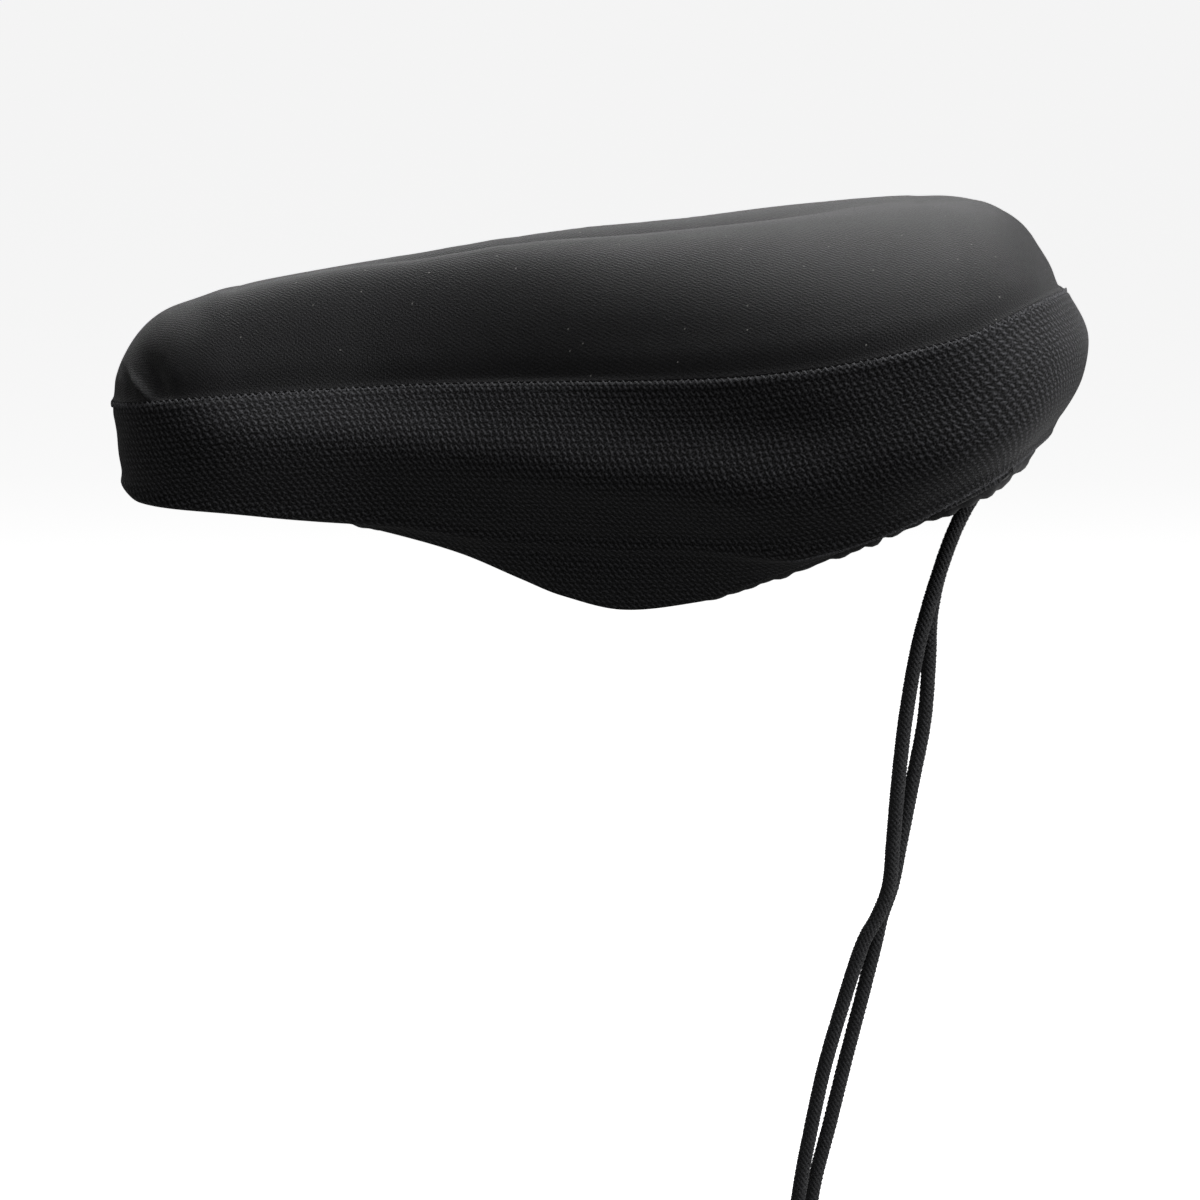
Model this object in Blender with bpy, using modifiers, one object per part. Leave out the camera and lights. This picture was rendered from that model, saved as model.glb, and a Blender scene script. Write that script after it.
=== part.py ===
"""Padded fabric seat cover for a bicycle, in the shape it takes when worn.

Metres, +Z up. The nose points to -X, the rear to +X, and -Y and +Y are the sides.
The origin is the middle of the flat patch under the lining, on which the cover rests.
Everything but the two cord tails is symmetric about Y = 0.
"""

import math

import bmesh
import bpy
from mathutils import Matrix, Vector

# Plan of the seam between the top panel and the skirt
NOSE_X = -0.139
REAR_X = 0.1290
NOSE_HALF_WIDTH = 0.033
REAR_HALF_WIDTH = 0.092
NOSE_ROUND = 0.036
REAR_ROUND = 0.040
REAR_ROUND_POWER = 3.0
REAR_ROUND_FULLNESS = 0.4
FLARE_START_X = -0.070
FLARE_END_X = 0.095

# Flat patch under the lining, on which the cover rests
PATCH_HALF_LENGTH = 0.022

# Side profiles, each a few (x, z) points that a smooth curve joins
SEAM_LINE = ((NOSE_X, -0.0225), (-0.111, -0.0187), (-0.055, -0.0149), (-0.014, -0.0125),
             (0.027, -0.0096), (0.053, -0.0062), (0.093, 0.0027), (0.124, 0.0130),
             (REAR_X, 0.0140))
CREST_LINE = ((-0.103, 0.0094), (-0.084, 0.0134), (-0.056, 0.0187), (-0.014, 0.0241),
              (0.028, 0.0280), (0.056, 0.0314), (0.084, 0.0344), (0.0895, 0.0347))
LINING_LINE = ((-0.103, -0.0110), (-0.056, -0.0050), (-PATCH_HALF_LENGTH, 0.0),
               (PATCH_HALF_LENGTH, 0.0), (0.058, 0.0060), (0.091, 0.0115))
EDGE_LINE = ((-0.1355, -0.0460), (-0.130, -0.0485), (-0.104, -0.0503), (-0.056, -0.0541),
             (-0.022, -0.0577), (0.0, -0.0579), (0.025, -0.0562), (0.050, -0.0570),
             (0.062, -0.0543), (0.075, -0.0495), (0.092, -0.0405), (0.107, -0.0322),
             (0.119, -0.0262), (0.127, -0.0250))
BOTTOM_LINE = ((-0.130, -0.0502), (-0.113, -0.0512), (-0.085, -0.0529), (-0.073, -0.0549),
               (-0.056, -0.0589), (-0.039, -0.0635), (-0.022, -0.0700), (-0.011, -0.0738),
               (0.006, -0.0770), (0.028, -0.0730), (0.041, -0.0674), (0.055, -0.0610),
               (0.065, -0.0570), (0.079, -0.0495), (0.092, -0.0420), (0.107, -0.0338),
               (0.119, -0.0278), (0.125, -0.0270))

# How far the skirt stands in from the seam's plan (negative is outward)
BULGE_INSET = ((NOSE_X, 0.0008), (-0.120, -0.0004), (-0.090, -0.0014), (0.0, -0.0030),
               (0.093, -0.0050), (REAR_X, -0.0080))
EDGE_INSET = ((NOSE_X, 0.0034), (-0.084, 0.0050), (0.014, 0.0080), (0.093, 0.0085),
              (REAR_X, 0.0028))
BOTTOM_INSET = ((NOSE_X, 0.0090), (-0.084, 0.0095), (-0.022, 0.0140), (0.014, 0.0185),
                (0.055, 0.0165), (0.093, 0.0120), (REAR_X, 0.0052))

# Skirt rows between seam and edge, each as its share of the wall's height, of the bulge's
# inset and of the edge's inset, then the row where the skirt turns under, as its shares of
# the way from edge to bottom inward and downward
WALL_ROWS = ((0.12, 0.60, 0.0), (0.43, 1.0, 0.0), (0.66, 0.80, 0.10), (0.86, 0.40, 0.55))
TURN_ROW = (0.40, 0.45)

# Crown of the padding
FLAT_SHARE = ((NOSE_X, 0.10), (-0.100, 0.30), (0.030, 0.38), (0.075, 0.27), (0.110, 0.16),
              (REAR_X, 0.05))
DOME_POWER = ((NOSE_X, 0.56), (-0.090, 0.65), (0.100, 0.65), (REAR_X, 0.95))
DOME_SHARPNESS = ((NOSE_X, 2.0), (0.100, 2.0), (REAR_X, 3.0))
GROOVE_WIDTH = ((-0.103, 0.0060), (-0.014, 0.0100), (0.050, 0.0125), (REAR_X, 0.0120))
GROOVE_DEPTH = ((-0.103, 0.0), (-0.080, 0.0006), (-0.045, 0.0050), (0.030, 0.0064),
                (0.065, 0.0040), (REAR_X, 0.0018))

# Layers
PANEL_THICKNESS = 0.0012
SKIRT_THICKNESS = 0.0016
LINING_THICKNESS = 0.0010
LAYER_GAP = 0.0003
SEAM_ALLOWANCE = 0.0050
LINING_LAP_SHARE = 0.5
LINING_EDGE_GAP = 0.0006
LINING_FLAT_ROW = 0.30
LINING_DROP_POWER = 1.9
FOAM_GAP = 0.0004
FOAM_RIM_ROW = 0.94
FOAM_RIM_CLEARANCE = 0.0020

# Gel inserts, each in a pocket that opens at the underside of the foam's lobe
GEL_LENGTH = 0.076
GEL_WIDTH = 0.036
GEL_THICKNESS = 0.0065
GEL_CENTRE_X = 0.056
GEL_SIDE_MARGIN = 0.052
GEL_CENTRE_Y = REAR_HALF_WIDTH - GEL_SIDE_MARGIN
GEL_LIFT = 0.0012
GEL_POCKET_GAP = 0.0004
GEL_POCKET_DEPTH = 0.0120
GEL_SPLAY = math.radians(-14.0)
GEL_ROLL = math.radians(9.0)
GEL_PITCH = math.radians(-9.0)
GEL_EDGE_ROUND = 0.0022
GEL_EDGE_SEGMENTS = 3

# Hem: a tunnel of smooth tape with a drawstring inside
CORD_DIAMETER = 0.0046
CORD_CLEARANCE = 0.0003
CASING_THICKNESS = 0.0009
CASING_HEIGHT = 0.0086
CASING_LIFT = ((NOSE_X, 0.0046), (-0.073, 0.0046), (0.010, 0.0052), (0.065, 0.0040),
               (0.086, 0.0020), (0.104, -0.0024), (REAR_X, -0.0029))
CASING_MOUTH_Y = 0.0085
TAIL_EXIT_GAP = 0.0004

# Free tails: the bend out of each mouth, as steps from it towards the middle, then
# hand-placed routes down to the sealed ends
TAIL_BEND = ((-0.0002, 0.0020, -0.0004), (-0.0018, 0.0041, -0.0030))
TAIL_ROUTE_RIGHT = (
    (0.1130, -0.0029, -0.0393),
    (0.1077, -0.0026, -0.0475),
    (0.1020, -0.0026, -0.0579),
    (0.0973, -0.0028, -0.0709),
    (0.0934, -0.0031, -0.0840),
    (0.0904, -0.0034, -0.0970),
    (0.0877, -0.0036, -0.1145),
    (0.0859, -0.0035, -0.1321),
    (0.0846, -0.0031, -0.1497),
    (0.0836, -0.0026, -0.1629),
    (0.0805, -0.0026, -0.1718),
    (0.0759, -0.0028, -0.1807),
    (0.0703, -0.0033, -0.1985),
    (0.0653, -0.0037, -0.2164),
    (0.0616, -0.0036, -0.2343),
    (0.0584, -0.0033, -0.2524),
    (0.0560, -0.0031, -0.2740),
    (0.0553, -0.0032, -0.2960),
    (0.0560, -0.0036, -0.3180),
)
TAIL_ROUTE_LEFT = (
    (0.1131, 0.0029, -0.0394),
    (0.1079, 0.0026, -0.0478),
    (0.1024, 0.0026, -0.0586),
    (0.0977, 0.0026, -0.0717),
    (0.0952, 0.0028, -0.0848),
    (0.0948, 0.0031, -0.0979),
    (0.0937, 0.0034, -0.1154),
    (0.0906, 0.0034, -0.1330),
    (0.0873, 0.0030, -0.1507),
    (0.0848, 0.0026, -0.1640),
    (0.0819, 0.0027, -0.1729),
    (0.0800, 0.0030, -0.1819),
    (0.0758, 0.0034, -0.1997),
    (0.0714, 0.0036, -0.2177),
    (0.0672, 0.0034, -0.2357),
    (0.0628, 0.0032, -0.2538),
    (0.0604, 0.0033, -0.2730),
    (0.0602, 0.0037, -0.2930),
    (0.0612, 0.0042, -0.3110),
)

# Mesh resolution
COLUMNS = 34
DENSE_SAMPLES = 480
CROWN_INNER_ROWS = (0.0, 0.34, 0.67)
CROWN_DOME_DEGREES = (0.0, 20.0, 38.0, 54.0, 68.0, 80.0)
LINING_ROWS = (0.0, LINING_FLAT_ROW, 0.55, 0.75, 0.90, 1.0)
CASING_SIDES = 8
CASING_SPACING = 0.0095
CORD_SPACING = 0.0110
HEM_STEPS = 6
TAIL_STEPS = 2
CORD_RESOLUTION = 2
SHARP_ANGLE = math.radians(50.0)
MERGE = 0.00002
TINY = 1e-9

# Finishes, each a linear colour and a roughness
BLACK_JERSEY = ((0.012, 0.012, 0.013, 1.0), 0.75)
BLACK_MESH = ((0.010, 0.010, 0.011, 1.0), 0.85)
BLACK_TAPE = ((0.009, 0.009, 0.010, 1.0), 0.85)
BLACK_CORD = ((0.008, 0.008, 0.009, 1.0), 0.80)
GREY_FOAM = ((0.080, 0.080, 0.085, 1.0), 0.95)
CLEAR_GEL = ((0.250, 0.320, 0.380, 1.0), 0.30)


def clear_scene():
    """Remove every object that the file holds."""
    for old in list(bpy.data.objects):
        bpy.data.objects.remove(old, do_unlink=True)


def make_material(name, finish):
    """Return a plain non-metallic material."""
    colour, roughness = finish
    material = bpy.data.materials.new(name)
    material.use_nodes = True
    shader = material.node_tree.nodes["Principled BSDF"]
    shader.inputs["Base Color"].default_value = colour
    shader.inputs["Roughness"].default_value = roughness
    shader.inputs["Metallic"].default_value = 0.0
    return material


def smooth_step(low, high, value):
    """Return 0 below low, 1 above high, and an S-curve between."""
    share = min(1.0, max(0.0, (value - low) / (high - low)))
    return share * share * (3.0 - 2.0 * share)


def curve_value(points, x):
    """Return the height at x on the smooth curve through the (x, z) points."""
    if x <= points[0][0]:
        return points[0][1]
    if x >= points[-1][0]:
        return points[-1][1]
    last = len(points) - 1
    rises = []
    for low, high in zip(points, points[1:]):
        rises.append((high[1] - low[1]) / (high[0] - low[0]))
    slopes = [rises[0]]
    for before, after in zip(rises, rises[1:]):
        level = before * after <= 0.0
        slopes.append(0.0 if level else 2.0 * before * after / (before + after))
    slopes.append(rises[-1])
    index = max(i for i in range(last) if points[i][0] <= x)
    low, high = points[index], points[index + 1]
    span = high[0] - low[0]
    t = (x - low[0]) / span
    start = (1.0 + 2.0 * t) * (1.0 - t) ** 2 * low[1]
    end = t * t * (3.0 - 2.0 * t) * high[1]
    lift = t * (1.0 - t) ** 2 * span * slopes[index]
    fall = t * t * (t - 1.0) * span * slopes[index + 1]
    return start + end + lift + fall


def half_width(x):
    """Return the seam's half width at x."""
    flare = smooth_step(FLARE_START_X, FLARE_END_X, x)
    width = NOSE_HALF_WIDTH + (REAR_HALF_WIDTH - NOSE_HALF_WIDTH) * flare
    nose = max(0.0, (NOSE_X + NOSE_ROUND - x) / NOSE_ROUND)
    rear = max(0.0, (x - REAR_X + REAR_ROUND) / REAR_ROUND)
    width *= math.sqrt(max(0.0, 1.0 - min(1.0, nose) ** 2))
    width *= max(0.0, 1.0 - min(1.0, rear) ** REAR_ROUND_POWER) ** REAR_ROUND_FULLNESS
    return width


def resample(points, count):
    """Return count + 1 points spaced evenly along the polyline."""
    lengths = [0.0]
    for first, second in zip(points, points[1:]):
        lengths.append(lengths[-1] + (second - first).length)
    result = []
    index = 0
    for step in range(count + 1):
        target = lengths[-1] * step / count
        while index < len(points) - 2 and lengths[index + 1] < target:
            index += 1
        span = lengths[index + 1] - lengths[index]
        share = (target - lengths[index]) / span if span else 0.0
        result.append(points[index].lerp(points[index + 1], min(1.0, share)))
    return result


def seam_plan(count):
    """Return the -Y half of the seam's plan, nose to rear, with the inward plan normals."""
    dense = []
    for step in range(DENSE_SAMPLES + 1):
        share = (1.0 - math.cos(math.pi * step / DENSE_SAMPLES)) / 2.0
        x = NOSE_X + (REAR_X - NOSE_X) * share
        dense.append(Vector((x, -half_width(x), 0.0)))
    points = resample(dense, count)
    points[0].y = 0.0
    points[-1].y = 0.0
    normals = []
    for index in range(count + 1):
        ahead = points[min(index + 1, count)]
        behind = points[max(index - 1, 0)]
        along = (ahead - behind).normalized()
        normals.append(Vector((-along.y, along.x, 0.0)))
    normals[0] = Vector((1.0, 0.0, 0.0))
    normals[-1] = Vector((-1.0, 0.0, 0.0))
    return points, normals


def spine_point(point):
    """Return the point of the padding's centre line that a seam point's section starts from."""
    x = min(REAR_X - REAR_ROUND, max(NOSE_X + NOSE_ROUND, point.x))
    return Vector((x, 0.0, 0.0))


def groove_depth(x, y):
    """Return how deep the middle channel is at a place."""
    return curve_value(GROOVE_DEPTH, x) * math.exp(-((y / curve_value(GROOVE_WIDTH, x)) ** 2))


def crown_column(point):
    """Return the outer points of the top panel from the spine to the seam at one seam point."""
    spine = spine_point(point)
    seam_z = curve_value(SEAM_LINE, point.x)
    crest_z = curve_value(CREST_LINE, spine.x)
    flat = curve_value(FLAT_SHARE, point.x)
    power = curve_value(DOME_POWER, point.x)
    sharpness = curve_value(DOME_SHARPNESS, point.x)
    shares = [(flat * row, 1.0) for row in CROWN_INNER_ROWS]
    for degrees in CROWN_DOME_DEGREES:
        reach = math.sin(math.radians(degrees))
        shares.append((flat + (1.0 - flat) * reach, (1.0 - reach ** sharpness) ** power))
    column = []
    for reach, height in shares:
        place = spine.lerp(point, reach)
        place.z = seam_z + (crest_z - seam_z) * height
        place.z -= groove_depth(place.x, place.y) * height
        column.append(place)
    return column


def grid_normals(grid):
    """Return an outward unit normal for each point of a grid of columns."""
    normals = []
    last_column = len(grid) - 1
    for i, column in enumerate(grid):
        last_row = len(column) - 1
        line = []
        for j in range(len(column)):
            down = column[min(j + 1, last_row)] - column[max(j - 1, 0)]
            along = grid[min(i + 1, last_column)][j] - grid[max(i - 1, 0)][j]
            normal = down.cross(along)
            if normal.length < TINY:
                normal = Vector((0.0, 0.0, 1.0))
            if abs(column[j].y) < TINY:
                normal.y = 0.0
            line.append(normal.normalized())
        normals.append(line)
    return normals


def offset_grid(grid, distance):
    """Return the grid moved by distance along its outward normals."""
    normals = grid_normals(grid)
    moved = []
    for column, line in zip(grid, normals):
        moved.append([point + normal * distance for point, normal in zip(column, line)])
    return moved


def mesh_from_grid(name, grid):
    """Return a mesh of the quads between neighbouring columns, with doubled points merged."""
    body = bmesh.new()
    rows = len(grid[0])
    points = [[body.verts.new(place) for place in column] for column in grid]
    for left, right in zip(points, points[1:]):
        for row in range(rows - 1):
            body.faces.new((left[row], left[row + 1], right[row + 1], right[row]))
    bmesh.ops.remove_doubles(body, verts=body.verts, dist=MERGE)
    mesh = bpy.data.meshes.new(name)
    body.to_mesh(mesh)
    body.free()
    mesh.shade_smooth()
    mesh.set_sharp_from_angle(angle=SHARP_ANGLE)
    return mesh


def add_object(name, data, material, collection):
    """Return a new object in the collection with the material in its first slot."""
    data.materials.append(material)
    new = bpy.data.objects.new(name, data)
    collection.objects.link(new)
    return new


def add_mirror(target):
    """Complete a half that is open at Y = 0."""
    mirror = target.modifiers.new("Mirror", "MIRROR")
    mirror.use_axis = (False, True, False)
    mirror.use_clip = True
    mirror.merge_threshold = MERGE


def add_shell(target, thickness):
    """Give an open surface its thickness on the inner side."""
    shell = target.modifiers.new("Solidify", "SOLIDIFY")
    shell.thickness = thickness
    shell.offset = -1.0
    shell.use_even_offset = True
    shell.use_quality_normals = True


def crown_grid(plan):
    """Return the top panel's outer surface without its seam allowance."""
    return [crown_column(point) for point in plan]


def make_top_panel(plan, normals, material, collection):
    """Make the stretch panel over the padding, with its edge turned in at the seam."""
    grid = crown_grid(plan)
    for column, point, inward in zip(grid, plan, normals):
        seam_z = curve_value(SEAM_LINE, point.x) + LAYER_GAP / 2.0
        column.append(Vector((point.x, point.y, seam_z)))
        turned = point + inward * SEAM_ALLOWANCE
        column.append(Vector((turned.x, turned.y, seam_z)))
    panel = add_object("top_panel", mesh_from_grid("top_panel", grid), material, collection)
    add_mirror(panel)
    add_shell(panel, PANEL_THICKNESS)
    return panel


def lining_column(point, inward, rows, lift):
    """Return one section of the lining's underside, raised by lift."""
    spine = spine_point(point)
    lap = LINING_LAP_SHARE * SEAM_ALLOWANCE
    edge = point + inward * (PANEL_THICKNESS + LAYER_GAP + lap)
    edge_z = curve_value(SEAM_LINE, point.x) + PANEL_THICKNESS + LINING_EDGE_GAP
    centre_z = curve_value(LINING_LINE, spine.x)
    column = []
    for row in rows:
        place = spine.lerp(edge, row)
        drop = max(0.0, (row - LINING_FLAT_ROW) / (1.0 - LINING_FLAT_ROW)) ** LINING_DROP_POWER
        place.z = centre_z + (edge_z - centre_z) * drop + lift
        column.append(place)
    return column


def make_lining(plan, normals, material, collection):
    """Make the slip-resistant fabric under the foam."""
    grid = []
    for point, inward in zip(plan, normals):
        grid.append(lining_column(point, inward, LINING_ROWS, LINING_THICKNESS))
    lining = add_object("lining", mesh_from_grid("lining", grid), material, collection)
    add_mirror(lining)
    add_shell(lining, LINING_THICKNESS)
    return lining


def trim_column(column, lowest):
    """Return the column cut off at the lowest height, with as many points as before."""
    kept = [place for place in column if place.z >= lowest]
    if len(kept) == len(column):
        return column
    above, below = kept[-1], column[len(kept)]
    kept.append(above.lerp(below, (above.z - lowest) / (above.z - below.z)))
    last = len(kept) - 1
    missing = len(column) - len(kept)
    extra = [kept[last - 1].lerp(kept[last], (step + 1) / (missing + 1)) for step in range(missing)]
    return kept[:last] + extra + kept[last:]


def foam_grid(plan, normals):
    """Return the closed section of the foam, crown side first and then its underside."""
    crown = offset_grid(crown_grid(plan), -(PANEL_THICKNESS + FOAM_GAP))
    under_rows = LINING_ROWS[:-1] + (FOAM_RIM_ROW,)
    stack = PANEL_THICKNESS + LINING_THICKNESS + FOAM_RIM_CLEARANCE
    grid = []
    for column, point, inward in zip(crown, plan, normals):
        under = lining_column(point, inward, under_rows, LINING_THICKNESS + FOAM_GAP)
        lowest = curve_value(SEAM_LINE, point.x) + stack
        grid.append(trim_column(column, lowest) + under[::-1])
    return grid


def make_gel_shape(name, side, grow, depth):
    """Return one gel insert's shape, grown all round by grow and downward by depth."""
    bpy.ops.mesh.primitive_cube_add(size=1.0)
    shape = bpy.context.active_object
    shape.name = name
    shape.data.name = name
    size = Vector((GEL_LENGTH, GEL_WIDTH, GEL_THICKNESS)) + Vector((2.0, 2.0, 2.0)) * grow
    size.z += depth
    shape.data.transform(Matrix.Diagonal((size.x, size.y, size.z, 1.0)))
    shape.data.transform(Matrix.Translation((0.0, 0.0, -depth / 2.0)))
    lining_z = curve_value(LINING_LINE, GEL_CENTRE_X) + LINING_THICKNESS
    shape.location = (GEL_CENTRE_X, side * GEL_CENTRE_Y, lining_z + GEL_LIFT + GEL_THICKNESS / 2.0)
    shape.rotation_euler = (-side * GEL_ROLL, GEL_PITCH, -side * GEL_SPLAY)
    bevel = shape.modifiers.new("Bevel", "BEVEL")
    bevel.width = GEL_EDGE_ROUND + grow
    bevel.segments = GEL_EDGE_SEGMENTS
    bevel.limit_method = "ANGLE"
    return shape


def move_to_collection(target, collection):
    """Move an object that an operator made into the collection."""
    for old in list(target.users_collection):
        old.objects.unlink(target)
    collection.objects.link(target)


def make_padding(plan, normals, materials, collection, cutters):
    """Make the foam pad and the two gel inserts in its pockets."""
    grid = foam_grid(plan, normals)
    foam = add_object("foam_pad", mesh_from_grid("foam_pad", grid), materials["foam"], collection)
    add_mirror(foam)
    for name, side in (("gel_insert_right", -1.0), ("gel_insert_left", 1.0)):
        gel = make_gel_shape(name, side, 0.0, 0.0)
        gel.data.materials.append(materials["gel"])
        move_to_collection(gel, collection)
        pocket = make_gel_shape(name + "_pocket", side, GEL_POCKET_GAP, GEL_POCKET_DEPTH)
        pocket.display_type = "WIRE"
        pocket.hide_render = True
        move_to_collection(pocket, cutters)
        cut = foam.modifiers.new("Pocket", "BOOLEAN")
        cut.operation = "DIFFERENCE"
        cut.object = pocket


def skirt_column(point, inward):
    """Return the skirt's outer points from the turned-in seam edge to its bottom edge."""
    x = point.x
    bulge_in = curve_value(BULGE_INSET, x)
    edge_in = curve_value(EDGE_INSET, x)
    bottom_in = curve_value(BOTTOM_INSET, x)
    seam_z = curve_value(SEAM_LINE, x) - LAYER_GAP / 2.0
    edge_z = curve_value(EDGE_LINE, (point + inward * edge_in).x)
    bottom_z = curve_value(BOTTOM_LINE, (point + inward * bottom_in).x)
    wall = seam_z - edge_z
    rows = [(SEAM_ALLOWANCE, seam_z), (0.0, seam_z)]
    for down, bulge, edge in WALL_ROWS:
        rows.append((bulge * bulge_in + edge * edge_in, seam_z - down * wall))
    rows.append((edge_in, edge_z))
    turn_in, turn_down = TURN_ROW
    turn_z = edge_z + turn_down * (bottom_z - edge_z)
    rows.append((edge_in + turn_in * (bottom_in - edge_in), turn_z))
    rows.append((bottom_in, bottom_z))
    column = []
    for inset, height in rows:
        place = point + inward * inset
        place.z = height
        column.append(place)
    return column


def make_skirt(plan, normals, material, collection):
    """Make the knitted side skirt, its lower edge turned inward."""
    grid = [skirt_column(point, inward) for point, inward in zip(plan, normals)]
    skirt = add_object("side_skirt", mesh_from_grid("side_skirt", grid), material, collection)
    add_mirror(skirt)
    add_shell(skirt, SKIRT_THICKNESS)
    return skirt


def polyline_length(points):
    """Return the length of a line of points."""
    return sum((second - first).length for first, second in zip(points, points[1:]))


def smooth_route(points, steps):
    """Return a Catmull-Rom curve through the points."""
    route = []
    last = len(points) - 1
    for index in range(last):
        before = points[max(index - 1, 0)]
        start = points[index]
        end = points[index + 1]
        after = points[min(index + 2, last)]
        for step in range(steps):
            t = step / steps
            place = 2.0 * start + (end - before) * t
            place += (2.0 * before - 5.0 * start + 4.0 * end - after) * t * t
            place += (3.0 * start - before - 3.0 * end + after) * t * t * t
            route.append(place * 0.5)
    route.append(points[-1].copy())
    return route


def hem_path(plan, normals, spacing):
    """Return the drawstring's line through the hem, from mouth to mouth round the nose."""
    reach = CORD_DIAMETER / 2.0 + CORD_CLEARANCE + CASING_THICKNESS + LAYER_GAP + SKIRT_THICKNESS
    half = []
    for point, inward in zip(plan, normals):
        edge = point + inward * curve_value(BOTTOM_INSET, point.x)
        place = edge + inward * reach
        place.z = curve_value(BOTTOM_LINE, edge.x) + curve_value(CASING_LIFT, edge.x)
        half.append(place)
    half = [place for place in half if place.x < 0.0 or place.y < -CASING_MOUTH_Y]
    mirrored = [Vector((place.x, -place.y, place.z)) for place in half[1:]]
    whole = list(reversed(mirrored)) + half
    mouth = whole[-1]
    outer = whole[-2]
    ahead = (mouth - outer).normalized()
    end = mouth + ahead * ((-CASING_MOUTH_Y - mouth.y) / ahead.y)
    whole.append(end)
    whole.insert(0, Vector((end.x, -end.y, end.z)))
    count = round(polyline_length(whole) / spacing)
    return resample(smooth_route(whole, HEM_STEPS), count)


def make_casing(path, material, collection):
    """Make the tape tunnel along the hem, open at its two mouths."""
    width = CORD_DIAMETER + 2.0 * (CORD_CLEARANCE + CASING_THICKNESS)
    grid = []
    last = len(path) - 1
    for index, place in enumerate(path):
        along = (path[min(index + 1, last)] - path[max(index - 1, 0)]).normalized()
        side = along.cross(Vector((0.0, 0.0, 1.0))).normalized()
        up = side.cross(along)
        ring = []
        for step in range(CASING_SIDES + 1):
            angle = 2.0 * math.pi * step / CASING_SIDES
            across = side * (width / 2.0 * math.cos(angle))
            ring.append(place + across + up * (CASING_HEIGHT / 2.0 * math.sin(angle)))
        grid.append(ring)
    casing = add_object("hem_casing", mesh_from_grid("hem_casing", grid), material, collection)
    add_shell(casing, CASING_THICKNESS)
    return casing


def make_cord(name, path, material, collection):
    """Make one round cord along a path."""
    data = bpy.data.curves.new(name, "CURVE")
    data.dimensions = "3D"
    data.bevel_depth = CORD_DIAMETER / 2.0
    data.bevel_resolution = CORD_RESOLUTION
    data.use_fill_caps = True
    spline = data.splines.new("POLY")
    spline.points.add(len(path) - 1)
    for point, place in zip(spline.points, path):
        point.co = (place.x, place.y, place.z, 1.0)
    return add_object(name, data, material, collection)


def tail_path(mouth, route):
    """Return the points of one free tail, from the drawstring's end in the casing's mouth."""
    inward = -math.copysign(1.0, mouth.y)
    start = mouth + Vector((0.0, inward * TAIL_EXIT_GAP, 0.0))
    bend = [start + Vector((step[0], inward * step[1], step[2])) for step in TAIL_BEND]
    return smooth_route([start] + bend + [Vector(place) for place in route], TAIL_STEPS)


def main():
    """Build the cover."""
    clear_scene()
    collection = bpy.data.collections.new("bike_saddle_cover")
    cutters = bpy.data.collections.new("cutters")
    bpy.context.scene.collection.children.link(collection)
    bpy.context.scene.collection.children.link(cutters)
    jersey = make_material("black_jersey", BLACK_JERSEY)
    knit = make_material("black_knit", BLACK_MESH)
    tape = make_material("black_tape", BLACK_TAPE)
    cord = make_material("black_cord", BLACK_CORD)
    padding = {
        "foam": make_material("grey_foam", GREY_FOAM),
        "gel": make_material("clear_gel", CLEAR_GEL),
    }
    plan, normals = seam_plan(COLUMNS)
    make_top_panel(plan, normals, jersey, collection)
    make_padding(plan, normals, padding, collection, cutters)
    make_lining(plan, normals, tape, collection)
    make_skirt(plan, normals, knit, collection)
    make_casing(hem_path(plan, normals, CASING_SPACING), tape, collection)
    inner = hem_path(plan, normals, CORD_SPACING)
    make_cord("drawstring", inner, cord, collection)
    make_cord("drawstring_tail_right", tail_path(inner[-1], TAIL_ROUTE_RIGHT), cord, collection)
    make_cord("drawstring_tail_left", tail_path(inner[0], TAIL_ROUTE_LEFT), cord, collection)


main()
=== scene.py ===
"""Bicycle saddle cover, dressed: jersey crown, knitted mesh skirt and a drawstring hem.

Metres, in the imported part's frame: the nose points to -X, the near side is -Y, +Z is up.
"""

from __future__ import annotations

import logging
import math
from dataclasses import dataclass
from enum import Enum
from typing import Any, Callable, Sequence

import bmesh
import bpy
import numpy as np
from bpy.types import ID, Material, Mesh, Node, NodeSocket, NodeTree, Object, World
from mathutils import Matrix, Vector
from mathutils.kdtree import KDTree


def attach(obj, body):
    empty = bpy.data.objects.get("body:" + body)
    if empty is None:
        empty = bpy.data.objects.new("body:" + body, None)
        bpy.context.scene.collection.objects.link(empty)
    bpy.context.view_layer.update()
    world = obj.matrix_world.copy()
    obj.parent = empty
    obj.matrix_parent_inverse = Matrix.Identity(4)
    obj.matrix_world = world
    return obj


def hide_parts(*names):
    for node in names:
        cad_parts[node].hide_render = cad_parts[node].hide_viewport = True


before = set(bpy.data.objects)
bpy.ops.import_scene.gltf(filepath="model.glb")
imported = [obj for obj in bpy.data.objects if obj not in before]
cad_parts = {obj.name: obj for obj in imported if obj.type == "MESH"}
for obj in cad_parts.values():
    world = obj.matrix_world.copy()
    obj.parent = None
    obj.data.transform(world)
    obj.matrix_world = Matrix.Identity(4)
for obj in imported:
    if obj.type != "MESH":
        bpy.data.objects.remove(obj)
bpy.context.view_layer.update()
BODY = "root"
LOG = logging.getLogger("saddle_cover")

Array = np.ndarray
Profile = Sequence[tuple[float, float]]
Point = tuple[float, float, float]


class Side(Enum):
    """The two halves of the cover, by the sign of Y."""

    NEAR = -1.0
    FAR = 1.0


# ---- small tools ----


def linear(code: str) -> tuple[float, float, float, float]:
    """Turn an sRGB hex value into a linear, opaque colour.

    Args:
        code: Six hex digits after a hash.

    Returns:
        Linear red, green and blue, and 1.
    """
    parts = [int(code[at : at + 2], 16) / 255.0 for at in (1, 3, 5)]
    red, green, blue = (
        part / 12.92 if part <= 0.04045 else ((part + 0.055) / 1.055) ** 2.4 for part in parts
    )
    return (red, green, blue, 1.0)


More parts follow.
